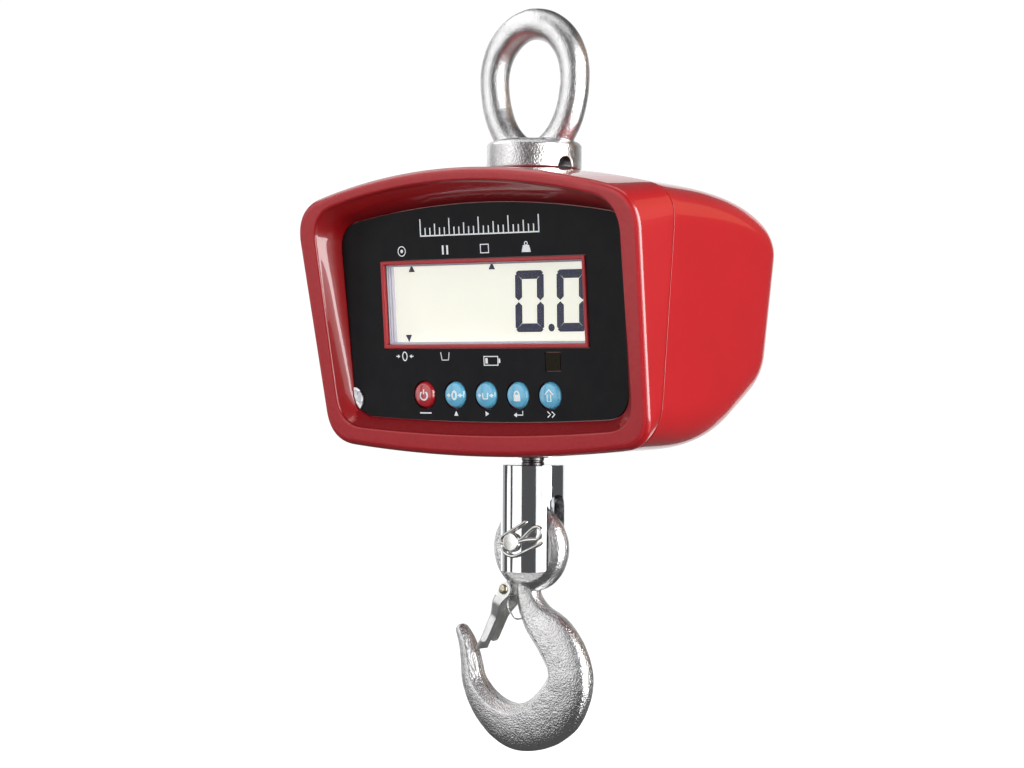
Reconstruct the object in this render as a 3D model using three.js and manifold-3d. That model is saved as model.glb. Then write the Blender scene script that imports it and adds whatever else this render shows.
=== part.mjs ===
// Crane scale: a two-part painted casing with a recessed display panel hangs from a forged lifting
// eye. An S-shaped load cell inside carries the load to a swivelling clevis and a safety hook.
// Millimetres, +Z up, the display faces -Y, +X is to the right of a person reading it.
// The load runs down the Z axis. The origin is the crown of the lifting eye's hole.
import * as THREE from 'three';
import { mergeVertices } from 'three/addons/utils/BufferGeometryUtils.js';
import Module from 'manifold-3d';

const wasm = await Module();
wasm.setup();

// ---------------------------------------------------------------- driving dimensions
const GAP = 0.3;                 // air left between pieces that touch
const WALL = 2.6;                // casing wall thickness

// lifting eye
const EYE_HALF_WIDTH = 23.4;     // bar centre line, half its greatest width
const EYE_WIDEST_Z = -18;        // height of that greatest width
const EYE_BAR = 6.9;             // bar radius at the sides
const EYE_CROWN_EXTRA = 0.4;     // how much thicker the bar is at its crown
const EYE_FOOT_Z = -53;          // lowest point of the bar centre line, inside the collar
const EYE_SIDES = 12;
const COLLAR_RADIUS = 22.1;
const COLLAR_TOP = -49.4;
const COLLAR_BOTTOM = -59.5;
const EYE_SHANK_RADIUS = 8;
const NOTCH_RADIUS = 4.8;        // half-round notches in the collar's lower edge

// casing outlines in X-Z. shoulder and hip are where the side line meets the arch and the belly.
const LIP = { top: -63, bottom: -193.1, shoulder: [98.8, -78.2], hip: [92.6, -187.2], rounds: [16, 14] };
const LIP_INNER = {
  top: -69.3, bottom: -183.8, shoulder: [87.8, -81.5], hip: [84.2, -179.5], rounds: [14, 13],
};
const PANEL = { top: -77.6, bottom: -175.4, shoulder: [83.5, -86], hip: [79, -173], rounds: [12, 12] };
const SEAM = { top: -61.5, bottom: -193, shoulder: [100.9, -75], hip: [92.8, -187], rounds: [15, 20] };
const SEAM_Y = -30.6;            // where the rear casing starts
const REAR_Y = 59.5;             // the flat rear face
// how the rear casing narrows towards its rear face: y, top drop, belly rise, side inset
const REAR_STATIONS = [
  [SEAM_Y, 0, 0, 0], [-2, 0.7, 0.5, 0.3], [14, 1.9, 2.6, 0.6], [26, 3.6, 6.6, 0.9], [36, 5.9, 12.2, 1.2],
  [44, 8.6, 17, 1.6], [51, 12, 21.3, 2.2], [56.2, 16, 25, 3.8], [58.6, 19.5, 28, 6], [REAR_Y, 23, 31, 9],
];

// the lip and the panel lean: y at z = 0 and the change of y for each millimetre of z
const LIP_PLANE = { y: -71, slope: -0.1733 };
const PANEL_PLANE = { y: -48.7, slope: -0.0827 };
const PANEL_REF_Z = -127;        // height of the panel frame's origin

// panel stack, measured inwards from the overlay's face
const OVERLAY_THICK = 0.6;
const SEAT = OVERLAY_THICK + GAP;        // casing wall behind the overlay
const SEAT_BACK = SEAT + 2.4;
const LCD_WIDTH = 118;                   // outside of the raised window rim
const LCD_HEIGHT = 40.7;
const LCD_RIM = 1.8;
const LCD_Z = 3.6;                       // window centre above the panel frame's origin
const LCD_DEPTH = 6.5;                   // front of the display glass
const GLASS_HALF = [62, 21];             // half width and height of the display glass
const BOARD_DEPTH = 12.8;
const BOARD_THICK = 1.6;
const KEY_PITCH = 18.1;
const KEY_Z = -38.2;
const KEY_RADIUS = 6.3;
const KEY_TRAVEL = 0.8;
const KEY_NAMES = ['power', 'zero', 'tare', 'hold', 'second'];
const IR = { x: 38.6, z: -23, half: 4.1 };   // infrared window
const SEAL = { x: -79.4, z: -40.6, radius: 5.8 };

// load path
const CELL = { width: 50.8, depth: 19, top: -86, bottom: -162.2 };
const STUD_RADIUS = 5.25;
const CLEVIS = {
  radius: 14.8, top: -197.2, bottom: -246.6, bore: 10.2, seat: -204.5, slot: 7, arch: -211, corner: 6,
};
const PIN = { z: -232.8, radius: 4, front: -18.2, back: 18.4, clip: -16.4 };
const HOOK_EYE = { x: -0.7, z: -236.0, inner: 7.3, outer: 20.3, half: 5.9 };
const HOOK_SIDES = 12;
// hook body from the neck round the bowl to the tip: x, z, width in the hook's plane, thickness in Y
const HOOK_STATIONS = [
  [-0.7, -249.5, 15, 10.6], [-1.4, -257.5, 13.4, 11], [4.2, -267.2, 17.6, 12.4],
  [13.9, -277.4, 21, 13.8], [21.2, -288.4, 21.8, 14.6], [21.8, -299.2, 23.6, 15],
  [15.4, -310.2, 25.2, 15.2], [4.1, -317.7, 23.6, 15], [-9.8, -319.6, 21.2, 14.6],
  [-23.6, -313.4, 16.6, 13.4], [-33.3, -301.6, 12, 12], [-36.3, -288.9, 9.4, 10.6],
  [-38.8, -281.2, 7.6, 9.2], [-42, -275.6, 5.4, 7.4],
];
const LATCH_PIVOT = { x: -11.4, z: -255.4 };
const LATCH_LEAN = THREE.MathUtils.degToRad(26.6);
const LATCH_SPRING = { wire: 0.4, coil: 2.6, y: 5.35 };
const LATCH = { length: 34.2, web: 4.1, sheet: 1.2, ear: 4, earIn: 6.1, tailOut: 4.6, pin: 1.6, lug: 4.6 };

// fasteners and the battery bay
const WELLS = [[-72, -103], [72, -103], [-72, -150], [72, -150]];   // casing screws, x and z
const BOARD_HOLES = [[-60, 33], [60, 33], [-60, -42], [60, -42]];   // on the panel, x and height
const BATTERY = { width: 97, depth: 24, height: 51, y: 31, z: -123 };
const BAY = { width: 112, height: 54, screw: 52.5 };
const SOCKET = { x: 72, z: -126.5, radius: 5.8 };

// ---------------------------------------------------------------- materials
function material(name, color, roughness, metalness) {
  return new THREE.MeshStandardMaterial({ name, color, roughness, metalness });
}
const PAINT = material('red_paint', 0xd0262c, 0.25, 0);
const FORGED = material('forged_zinc', 0xb9babd, 0.45, 1);
const CHROMED = material('chrome', 0xc9cbd0, 0.12, 1);
const STEEL = material('dark_steel', 0x4a474a, 0.4, 1);
const ZINC = material('zinc_plate', 0xc4c2bb, 0.3, 1);
const ALLOY = material('cell_alloy', 0xb4b8bd, 0.4, 1);
const RUBBER = material('rubber', 0x1b1b1c, 0.85, 0);
const OVERLAY = material('black_overlay', 0x232428, 0.4, 0);
const CLEAR = material('clear_window', 0xe8eef0, 0.05, 0);
const GLASS = material('lcd_glass', 0xe9ead9, 0.2, 0);
const DIFFUSER = material('white_plastic', 0xe9e9e6, 0.5, 0);
const BLACK = material('black_plastic', 0x1f2022, 0.5, 0);
const SMOKED = material('smoked_window', 0x2c2412, 0.2, 0);
const FOIL = material('seal_foil', 0xd5d7dc, 0.3, 1);
const BOARD = material('circuit_board', 0x1d5a34, 0.5, 0);
const BLUE_KEY = material('blue_key', 0x5fb0ea, 0.2, 0);
const RED_KEY = material('red_key', 0xb8303a, 0.2, 0);
const BRONZE = material('bronze', 0xa87f45, 0.35, 1);

// ---------------------------------------------------------------- solids
const vec = (x, y, z) => new THREE.Vector3(x, y, z);

// Merges shared corners, drops collapsed faces and turns the surface outwards.
function toSolid(geometry) {
  const bare = new THREE.BufferGeometry();
  bare.setAttribute('position', geometry.getAttribute('position').clone());
  if (geometry.index) bare.setIndex(geometry.index.clone());
  const merged = mergeVertices(bare, 1e-4);
  const points = merged.getAttribute('position');
  const corners = merged.index.array;
  const faces = [];
  let volume = 0;
  const [p, q, r] = [vec(), vec(), vec()];
  for (let i = 0; i < corners.length; i += 3) {
    const [a, b, c] = corners.slice(i, i + 3);
    if (a === b || b === c || c === a) continue;
    faces.push([a, b, c]);
    p.fromBufferAttribute(points, a);
    q.fromBufferAttribute(points, b);
    r.fromBufferAttribute(points, c);
    volume += p.dot(q.cross(r));
  }
  if (volume < 0) faces.forEach((face) => face.reverse());
  const mesh = new wasm.Mesh({
    numProp: 3,
    vertProperties: Float32Array.from(points.array),
    triVerts: Uint32Array.from(faces.flat()),
  });
  return new wasm.Manifold(mesh);
}

function toGeometry(solid) {
  const mesh = solid.getMesh();
  const geometry = new THREE.BufferGeometry();
  geometry.setAttribute('position', new THREE.BufferAttribute(mesh.vertProperties, 3));
  geometry.setIndex(new THREE.BufferAttribute(mesh.triVerts, 1));
  geometry.computeVertexNormals();
  return geometry;
}

function join(...parts) {
  return toGeometry(parts.map(toSolid).reduce((sum, part) => sum.add(part)));
}

function cut(base, ...tools) {
  return toGeometry(tools.map(toSolid).reduce((rest, tool) => rest.subtract(tool), toSolid(base)));
}

function common(base, other) {
  return toGeometry(toSolid(base).intersect(toSolid(other)));
}

// A box from its lowest and highest corners.
function block(low, high) {
  const size = high.map((value, i) => value - low[i]);
  const centre = high.map((value, i) => (value + low[i]) / 2);
  return new THREE.BoxGeometry(...size).translate(...centre);
}

// A round bar between two points.
function rod(radius, from, to, sides = 16) {
  const start = vec(...from);
  const along = vec(...to).sub(start);
  const bar = new THREE.CylinderGeometry(radius, radius, along.length(), sides);
  const turn = new THREE.Quaternion().setFromUnitVectors(vec(0, 1, 0), along.clone().normalize());
  return bar.applyQuaternion(turn).translate(...start.addScaledVector(along, 0.5).toArray());
}

// A turned piece from [radius, height] points. The axis is Y, or Z when upright.
function turned(profile, sides = 24) {
  return new THREE.LatheGeometry(profile.map(([r, h]) => new THREE.Vector2(r, h)), sides);
}
const upright = (geometry) => geometry.rotateX(Math.PI / 2);

// A ring of rectangular section about the Z axis.
function washer(inner, outer, low, high, sides = 24) {
  return upright(turned([[inner, low], [outer, low], [outer, high], [inner, high], [inner, low]], sides));
}

// A flat outline in X-Z given a thickness from y = near to y = far.
function slab(shape, near, far) {
  const body = new THREE.ExtrudeGeometry(shape, { depth: far - near, bevelEnabled: false, curveSegments: 8 });
  return body.rotateX(Math.PI / 2).translate(0, far, 0);
}

// A skin through a row of rings with equally many points. A ring may be one point repeated.
function loft(rings) {
  const around = rings[0].length;
  const skin = new THREE.LatheGeometry(rings.map((_, j) => new THREE.Vector2(1, j)), around);
  const points = skin.getAttribute('position');
  for (let i = 0; i <= around; i++) {
    rings.forEach((ring, j) => points.setXYZ(i * rings.length + j, ...ring[i % around].toArray()));
  }
  return skin;
}

// A thin tube through points, for wires and cables.
function tube(points, radius, steps, sides = 8) {
  const shape = new THREE.Shape().absarc(0, 0, radius, 0, 2 * Math.PI);
  const route = points.map((point) => vec(...point));
  const extrudePath = new THREE.CatmullRomCurve3(route, false, 'centripetal');
  const options = { steps, curveSegments: sides / 2, bevelEnabled: false, extrudePath };
  return new THREE.ExtrudeGeometry(shape, options);
}

// ---------------------------------------------------------------- casing outlines
// Right half first, from the top centre down to the bottom centre, then its mirror image.
function outline({ top, bottom, shoulder, hip, rounds }) {
  const arch = (x) => top - (top - shoulder[1]) * (x / shoulder[0]) ** 2;
  const belly = (x) => bottom + (hip[1] - bottom) * (x / hip[0]) ** 2;
  const side = new THREE.Vector2(hip[0] - shoulder[0], hip[1] - shoulder[1]).normalize();
  const [archEnd, bellyEnd] = [shoulder[0] - rounds[0], hip[0] - rounds[1]];
  const path = new THREE.Path();
  path.moveTo(0, top);
  path.quadraticCurveTo(archEnd / 2, top, archEnd, arch(archEnd));
  path.quadraticCurveTo(...shoulder, shoulder[0] + side.x * rounds[0], shoulder[1] + side.y * rounds[0]);
  path.lineTo(hip[0] - side.x * rounds[1], hip[1] - side.y * rounds[1]);
  path.quadraticCurveTo(...hip, bellyEnd, belly(bellyEnd));
  path.quadraticCurveTo(bellyEnd / 2, bottom, 0, bottom);
  const half = path.getPoints(5);
  const mirrored = half.slice(1, -1).reverse().map((point) => new THREE.Vector2(-point.x, point.y));
  return half.concat(mirrored);
}

function inset(form, side, top = side, bottom = side) {
  return {
    top: form.top - top,
    bottom: form.bottom + bottom,
    shoulder: [form.shoulder[0] - side, form.shoulder[1] - top],
    hip: [form.hip[0] - side, form.hip[1] + bottom],
    rounds: form.rounds.map((round) => Math.max(round - side, 3)),
  };
}

// An outline placed at a depth: a fixed y, or a leaning plane moved inwards by `back`.
const flatRing = (form, y) => outline(form).map((point) => vec(point.x, y, point.y));
const planeY = (plane, z) => plane.y + plane.slope * z;
function leaningRing(form, plane, back) {
  return outline(form).map((point) => vec(point.x, planeY(plane, point.y) + back, point.y));
}
const collapsed = (ring, point) => ring.map(() => point);

// ---------------------------------------------------------------- assembly
const scale = new THREE.Group();
const panel = new THREE.Group();   // its y axis points into the casing, square to the display
panel.position.set(0, planeY(PANEL_PLANE, PANEL_REF_Z), PANEL_REF_Z);
panel.rotation.x = Math.atan(-PANEL_PLANE.slope);
panel.updateMatrix();
scale.add(panel);

function add(name, geometry, look, parent = scale) {
  const mesh = new THREE.Mesh(geometry, look);
  mesh.name = name;
  parent.add(mesh);
}
const onPanel = (geometry) => geometry.clone().applyMatrix4(panel.matrix);

// ---------------------------------------------------------------- lifting eye
function eyeLoop() {
  const rings = [];
  const count = 32;
  for (let j = 0; j <= count; j++) {
    const angle = (2 * Math.PI * (j % count)) / count;
    const [c, s] = [Math.cos(angle), Math.sin(angle)];
    const bar = EYE_BAR + EYE_CROWN_EXTRA * Math.max(s, 0);
    const height = s > 0 ? EYE_BAR + EYE_CROWN_EXTRA - EYE_WIDEST_Z : EYE_WIDEST_Z - EYE_FOOT_Z;
    const centre = vec(EYE_HALF_WIDTH * c, 0, EYE_WIDEST_Z + height * s);
    const outwards = vec(c * height, 0, s * EYE_HALF_WIDTH).normalize();
    const ring = [];
    for (let i = 0; i < EYE_SIDES; i++) {
      const turn = (2 * Math.PI * i) / EYE_SIDES;
      const point = centre.clone().addScaledVector(outwards, bar * Math.cos(turn));
      ring.push(point.add(vec(0, bar * Math.sin(turn), 0)));
    }
    rings.push(ring);
  }
  return loft(rings);
}

function liftingEye() {
  const [collar, shankEnd] = [COLLAR_RADIUS, CELL.top - 16];
  const foot = upright(turned([
    [0, shankEnd], [EYE_SHANK_RADIUS - 1, shankEnd], [EYE_SHANK_RADIUS, shankEnd + 1],
    [EYE_SHANK_RADIUS, COLLAR_BOTTOM], [collar - 0.6, COLLAR_BOTTOM], [collar, COLLAR_BOTTOM + 0.6],
    [collar, COLLAR_TOP], [collar - 1.6, COLLAR_TOP + 1.6], [17, COLLAR_TOP + 2.6], [0, COLLAR_TOP + 3],
  ], 32));
  const notch = (side) => rod(NOTCH_RADIUS, [side * 14, 0, COLLAR_BOTTOM], [side * 24, 0, COLLAR_BOTTOM]);
  const screwHole = rod(2.7, [7, 0, COLLAR_BOTTOM + 2.4], [15, 0, COLLAR_BOTTOM + 2.4], 14);
  return cut(join(eyeLoop(), foot), notch(-1), notch(1), screwHole);
}
add('lifting_eye', liftingEye(), FORGED);

function socketScrew(radius, from, to) {
  const body = rod(radius, [from, 0, 0], [to, 0, 0], 14);
  return cut(body, rod(radius * 0.5, [to - 2, 0, 0], [to + 1, 0, 0], 6));
}
add('eye_set_screw', socketScrew(2.3, 7.4, 15.2).translate(0, 0, COLLAR_BOTTOM + 2.4), STEEL);
add('eye_seal', washer(EYE_SHANK_RADIUS + 0.6, 20.5, COLLAR_BOTTOM - 1.1, COLLAR_BOTTOM - GAP), RUBBER);

function hexNut(acrossFlats, bore, low, high) {
  const corner = acrossFlats / Math.sqrt(3);
  const hex = upright(turned([[0, low], [corner, low], [corner, high], [0, high]], 6));
  return cut(hex, rod(bore, [0, 0, low - 1], [0, 0, high + 1]));
}
add('upper_lock_nut', hexNut(24, EYE_SHANK_RADIUS + GAP, CELL.top + GAP, CELL.top + 8), ZINC);

// ---------------------------------------------------------------- load cell and stud
function loadCell() {
  const [half, deep] = [CELL.width / 2, CELL.depth / 2];
  const middle = (CELL.top + CELL.bottom) / 2;
  const body = block([-half, -deep, CELL.bottom], [half, deep, CELL.top]);
  const upperSlot = block([-half - 1, -deep - 1, CELL.top - 21], [half - 11, deep + 1, CELL.top - 18]);
  const lowerSlot = block([-half + 11, -deep - 1, CELL.bottom + 18], [half + 1, deep + 1, CELL.bottom + 21]);
  const gauge = [-7.5, 7.5].map((x) => rod(6.5, [x, -deep - 1, middle], [x, deep + 1, middle]));
  const topBore = rod(EYE_SHANK_RADIUS + GAP, [0, 0, CELL.top - 16.6], [0, 0, CELL.top + 1]);
  const lowBore = rod(STUD_RADIUS + GAP, [0, 0, CELL.bottom - 1], [0, 0, CELL.bottom + 15]);
  return cut(body, upperSlot, lowerSlot, ...gauge, topBore, lowBore);
}
add('load_cell', loadCell(), ALLOY);

function swivelBolt() {
  const [top, headTop, headLow] = [CELL.bottom + 14.6, CLEVIS.seat - 2.1, CLEVIS.seat - 8.6];
  return upright(turned([
    [0, headLow], [8.4, headLow], [9.4, headLow + 1], [9.4, headTop], [STUD_RADIUS, headTop],
    [STUD_RADIUS, top - 1], [STUD_RADIUS - 1, top], [0, top],
  ]));
}
add('swivel_bolt', swivelBolt(), STEEL);
add('lower_lock_nut', hexNut(18, STUD_RADIUS + GAP, CELL.bottom - 7, CELL.bottom - GAP), ZINC);

function studGrommet() {
  const [inner, neck, flange] = [STUD_RADIUS + 0.4, 7.2, 9.6];
  return upright(turned([
    [inner, -194], [neck, -194], [neck, -187.8], [flange, -187.8], [flange, -186.4], [inner, -186.4],
    [inner, -194],
  ]));
}
add('stud_grommet', studGrommet(), RUBBER);

// ---------------------------------------------------------------- front casing
function rectangle(halfWidth, halfHeight, z, near, far) {
  return block([-halfWidth, near, z - halfHeight], [halfWidth, far, z + halfHeight]);
}

function frontShell() {
  const middle = (PANEL.top + PANEL.bottom) / 2;
  const seatCentre = vec(0, planeY(PANEL_PLANE, middle) + SEAT, middle);
  const backCentre = vec(0, planeY(PANEL_PLANE, middle) + SEAT_BACK, middle);
  const seat = leaningRing(PANEL, PANEL_PLANE, SEAT);
  return loft([
    collapsed(seat, seatCentre),
    seat,
    leaningRing(LIP_INNER, LIP_PLANE, 1.6),
    leaningRing(inset(LIP_INNER, -1), LIP_PLANE, 0.2),
    leaningRing(inset(LIP, 2.6), LIP_PLANE, 0),
    leaningRing(inset(LIP, 0.5), LIP_PLANE, 1.3),
    leaningRing(LIP, LIP_PLANE, 3.6),
    flatRing(SEAM, SEAM_Y - GAP),
    flatRing(inset(SEAM, WALL), SEAM_Y - GAP),
    leaningRing(inset(LIP, 3.4), LIP_PLANE, 4.2),
    leaningRing(inset(LIP_INNER, -2.4), LIP_PLANE, 4.2),
    leaningRing(inset(PANEL, -2.6), PANEL_PLANE, SEAT_BACK),
    collapsed(seat, backCentre),
  ]);
}

function frontCasing() {
  const rim = [LCD_WIDTH / 2, LCD_HEIGHT / 2];
  const opening = [rim[0] - LCD_RIM, rim[1] - LCD_RIM];
  const root = SEAT + 1;   // where posts and bosses grow out of the panel wall
  const posts = WELLS.map(([x, z]) => {
    return rod(4, [x, planeY(PANEL_PLANE, z) + root, z], [x, SEAM_Y - GAP, z], 12);
  });
  const bosses = BOARD_HOLES.map(([x, z]) => onPanel(rod(3, [x, root, z], [x, BOARD_DEPTH - GAP, z], 10)));
  const shell = join(frontShell(), onPanel(rectangle(...rim, LCD_Z, -0.8, root)), ...posts, ...bosses);
  const keyHoles = KEY_NAMES.map((_, i) => {
    const x = (i - 2) * KEY_PITCH;
    return onPanel(rod(KEY_RADIUS + 0.35, [x, -3, KEY_Z], [x, SEAT_BACK + 3, KEY_Z], 20));
  });
  const pilots = WELLS.map(([x, z]) => {
    return rod(1.7, [x, planeY(PANEL_PLANE, z) + root + 0.3, z], [x, SEAM_Y + 1, z], 8);
  });
  const taps = BOARD_HOLES.map(([x, z]) => onPanel(rod(1.4, [x, 4.6, z], [x, BOARD_DEPTH + 1, z], 8)));
  return cut(
    shell,
    onPanel(rectangle(...opening, LCD_Z, -3, SEAT_BACK + 3)),
    onPanel(rectangle(3.6, 3.6, IR.z, SEAT - 1, SEAT_BACK + 3).translate(IR.x, 0, 0)),
    ...keyHoles, ...pilots, ...taps,
  );
}
add('front_casing', frontCasing(), PAINT);

// ---------------------------------------------------------------- rear casing
function rearShell() {
  const ring = ([y, top, belly, side], wall) => {
    const depth = THREE.MathUtils.clamp((y - 14) / (REAR_Y - 14), 0, 1);
    return flatRing(inset(SEAM, side + wall, top + wall, belly + wall), y - wall * depth);
  };
  const outer = REAR_STATIONS.map((station) => ring(station, 0));
  const inner = REAR_STATIONS.map((station) => ring(station, WALL)).reverse();
  const middle = (SEAM.top + SEAM.bottom) / 2;
  return loft([
    collapsed(inner[0], vec(0, REAR_Y - WALL, middle)), ...inner,
    ...outer, collapsed(inner[0], vec(0, REAR_Y, middle)),
  ]);
}

const WELL_FLOOR = -17.9;   // where the casing screws' heads seat
function rearCasing() {
  const padTop = COLLAR_BOTTOM - 1.4;
  const pad = upright(turned([[0, -66], [22.4, -66], [22.4, padTop - 1], [21.4, padTop], [0, padTop]], 32));
  const tunnels = WELLS.map(([x, z]) => rod(5.2, [x, SEAM_Y, z], [x, REAR_Y - 1, z], 14));
  const wells = WELLS.map(([x, z]) => rod(3.5, [x, WELL_FLOOR, z], [x, REAR_Y + 1, z]));
  const holes = WELLS.map(([x, z]) => rod(1.8, [x, SEAM_Y - 1, z], [x, WELL_FLOOR + 1, z], 8));
  return cut(
    join(rearShell(), pad, ...tunnels),
    ...wells, ...holes,
    rod(EYE_SHANK_RADIUS + 0.6, [0, 0, -72], [0, 0, -58], 28),
    rod(7.6, [0, 0, -197], [0, 0, -185], 28),
    rectangle(BAY.width / 2, BAY.height / 2, BATTERY.z, REAR_Y - 6, REAR_Y + 1),
    rod(SOCKET.radius + 0.4, [SOCKET.x, REAR_Y - 6, SOCKET.z], [SOCKET.x, REAR_Y + 1, SOCKET.z], 24),
  );
}
add('rear_casing', rearCasing(), PAINT);

function gasket() {
  const [outer, inner] = [inset(SEAM, WALL + 0.9), inset(SEAM, WALL + 2.3)];
  const [front, back] = [SEAM_Y - 1.8, SEAM_Y + 2];
  const start = flatRing(outer, front);
  return loft([start, flatRing(outer, back), flatRing(inner, back), flatRing(inner, front), start]);
}
add('casing_gasket', gasket(), RUBBER);

function panScrew(headRadius, headHigh, shaftRadius, length) {
  const body = turned([
    [0, -length], [shaftRadius, -length + 1.4], [shaftRadius, 0],
    [headRadius, 0], [headRadius, headHigh * 0.6], [headRadius * 0.7, headHigh], [0, headHigh],
  ], 10);
  const blade = (w, d) => block([-w, headHigh * 0.35, -d], [w, headHigh + 1, d]);
  return cut(body, blade(headRadius * 0.6, headRadius * 0.13), blade(headRadius * 0.13, headRadius * 0.6));
}
WELLS.forEach(([x, z], i) => {
  add(`casing_screw_${i + 1}`, panScrew(3, 2.4, 1.4, 15).translate(x, WELL_FLOOR + GAP, z), ZINC);
});

// ---------------------------------------------------------------- display panel
function overlayShape() {
  return new THREE.Shape(outline(inset(PANEL, 0.5)).map((p) => new THREE.Vector2(p.x, p.y - PANEL_REF_Z)));
}

function frontOverlay() {
  const rim = [LCD_WIDTH / 2 + GAP, LCD_HEIGHT / 2 + GAP];
  const keyHoles = KEY_NAMES.map((_, i) => {
    const x = (i - 2) * KEY_PITCH;
    return rod(KEY_RADIUS + 0.35, [x, -2, KEY_Z], [x, 2, KEY_Z], 20);
  });
  const irHole = rectangle(IR.half + GAP, IR.half + GAP, IR.z, -2, 2).translate(IR.x, 0, 0);
  return cut(slab(overlayShape(), 0, OVERLAY_THICK), rectangle(...rim, LCD_Z, -2, 2), ...keyHoles, irHole);
}
add('front_overlay', frontOverlay(), OVERLAY, panel);

const windowHalf = [LCD_WIDTH / 2 - LCD_RIM - GAP, LCD_HEIGHT / 2 - LCD_RIM - GAP];
add('display_window', rectangle(...windowHalf, LCD_Z, 0.2, 1.8), CLEAR, panel);
add('ir_window', rectangle(IR.half, IR.half, IR.z, 0, OVERLAY_THICK).translate(IR.x, 0, 0), SMOKED, panel);

function sealDisc() {
  const disc = rod(SEAL.radius, [SEAL.x, -0.8, SEAL.z], [SEAL.x, -GAP, SEAL.z], 24);
  return common(disc, slab(overlayShape(), -2, 1));
}
add('calibration_seal', sealDisc(), FOIL, panel);

add('lcd_panel', rectangle(...GLASS_HALF, LCD_Z, LCD_DEPTH, LCD_DEPTH + 2.2), GLASS, panel);
add('lcd_backlight', rectangle(...GLASS_HALF, LCD_Z, LCD_DEPTH + 2.5, BOARD_DEPTH - GAP), DIFFUSER, panel);
const holder = rectangle(GLASS_HALF[0] + 2.6, GLASS_HALF[1] + 2.2, LCD_Z, SEAT_BACK + GAP, BOARD_DEPTH - GAP);
const glassRoom = rectangle(GLASS_HALF[0] + 0.4, GLASS_HALF[1] + 0.4, LCD_Z, 0, 20);
add('lcd_holder', cut(holder, glassRoom), BLACK, panel);

const boardHoles = BOARD_HOLES.map(([x, z]) => rod(1.4, [x, 10, z], [x, 20, z], 12));
const board = block([-66, BOARD_DEPTH, -46], [66, BOARD_DEPTH + BOARD_THICK, 37]);
add('main_board', cut(board, ...boardHoles), BOARD, panel);
BOARD_HOLES.forEach(([x, z], i) => {
  const place = BOARD_DEPTH + BOARD_THICK + GAP;
  add(`board_screw_${i + 1}`, panScrew(2.3, 1.6, 1.1, 8).translate(x, place, z), ZINC, panel);
});

const irBody = block([IR.x - 3, 5, IR.z - 3], [IR.x + 3, BOARD_DEPTH - GAP, IR.z + 2.6]);
add('ir_receiver', join(irBody, rod(2.4, [IR.x, 4, IR.z], [IR.x, 6, IR.z], 14)), BLACK, panel);

// ---------------------------------------------------------------- keys and their switches
const STEM_END = 5;
function keyCap() {
  const r = KEY_RADIUS;
  return turned([
    [0, -2.3], [3.6, -1.9], [5.6, -1], [r, 0.2], [r, SEAT_BACK + GAP], [r + 1.1, SEAT_BACK + GAP],
    [r + 1.1, SEAT_BACK + 1.3], [2, SEAT_BACK + 1.3], [2, STEM_END], [0, STEM_END],
  ], 18);
}
function keySwitch() {
  const plunger = STEM_END + KEY_TRAVEL + GAP;
  const body = block([-3.1, 9, -3.1], [3.1, BOARD_DEPTH - GAP, 3.1]);
  return join(body, rod(1.7, [0, plunger, 0], [0, 9.5, 0], 10));
}
KEY_NAMES.forEach((key, i) => {
  const x = (i - 2) * KEY_PITCH;
  add(`button_${key}`, keyCap().translate(x, 0, KEY_Z), key === 'power' ? RED_KEY : BLUE_KEY, panel);
  add(`switch_${key}`, keySwitch().translate(x, 0, KEY_Z), BLACK, panel);
});

// ---------------------------------------------------------------- battery bay
const BAY_FRONT = BATTERY.y - 2.4;
function batteryBox() {
  const z = BATTERY.z;
  const [halfWide, halfHigh, wallFace] = [BAY.width / 2, BAY.height / 2, REAR_Y - WALL];
  const flange = rectangle(halfWide + 4, halfHigh + 3.4, z, wallFace - 2.4, wallFace - GAP);
  const tub = rectangle(halfWide + 1.6, halfHigh + 1.4, z, BAY_FRONT, wallFace - 1);
  const inside = rectangle(49.4, 26.2, z, BATTERY.y - GAP, REAR_Y + 1);
  const coverSeat = rectangle(halfWide, halfHigh, z, wallFace - 0.5, REAR_Y + 1);
  const taps = [-1, 1].map((side) => rod(1.5, [side * BAY.screw, 44, z], [side * BAY.screw, REAR_Y, z], 12));
  return cut(join(flange, tub), inside, coverSeat, ...taps);
}
add('battery_box', batteryBox(), BLACK);

function battery() {
  const { width, depth, height, y, z } = BATTERY;
  const bottom = z - 26;
  const top = bottom + height;
  const body = block([-width / 2, y, bottom], [width / 2, y + depth, top - 1.6]);
  const tab = (x) => block([x - 2.4, y + 8, top - 3], [x + 2.4, y + 8.8, top + 0.6]);
  return join(body, tab(-38), tab(38));
}
add('battery', battery(), BLACK);

function batteryCover() {
  const [far, z] = [REAR_Y, BATTERY.z];
  const plate = rectangle(BAY.width / 2 - GAP, BAY.height / 2 - GAP, z, far - 2.4, far);
  const sink = (x) => rod(3.3, [x, far - 1.4, z], [x, far + 1, z]);
  const hole = (x) => rod(1.6, [x, far - 4, z], [x, far, z], 12);
  const groove = (dz) => block([-20, far - 0.9, z + dz - 1], [20, far + 1, z + dz + 1]);
  const grooves = [-12, -6, 0, 6, 12].map(groove);
  return cut(plate, ...[-BAY.screw, BAY.screw].flatMap((x) => [sink(x), hole(x)]), ...grooves);
}
add('battery_cover', batteryCover(), PAINT);
[-1, 1].forEach((side, i) => {
  const screw = panScrew(2.9, 1, 1.2, 11).translate(side * BAY.screw, REAR_Y - 1.4 + GAP, BATTERY.z);
  add(`cover_screw_${i + 1}`, screw, ZINC);
});

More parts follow.
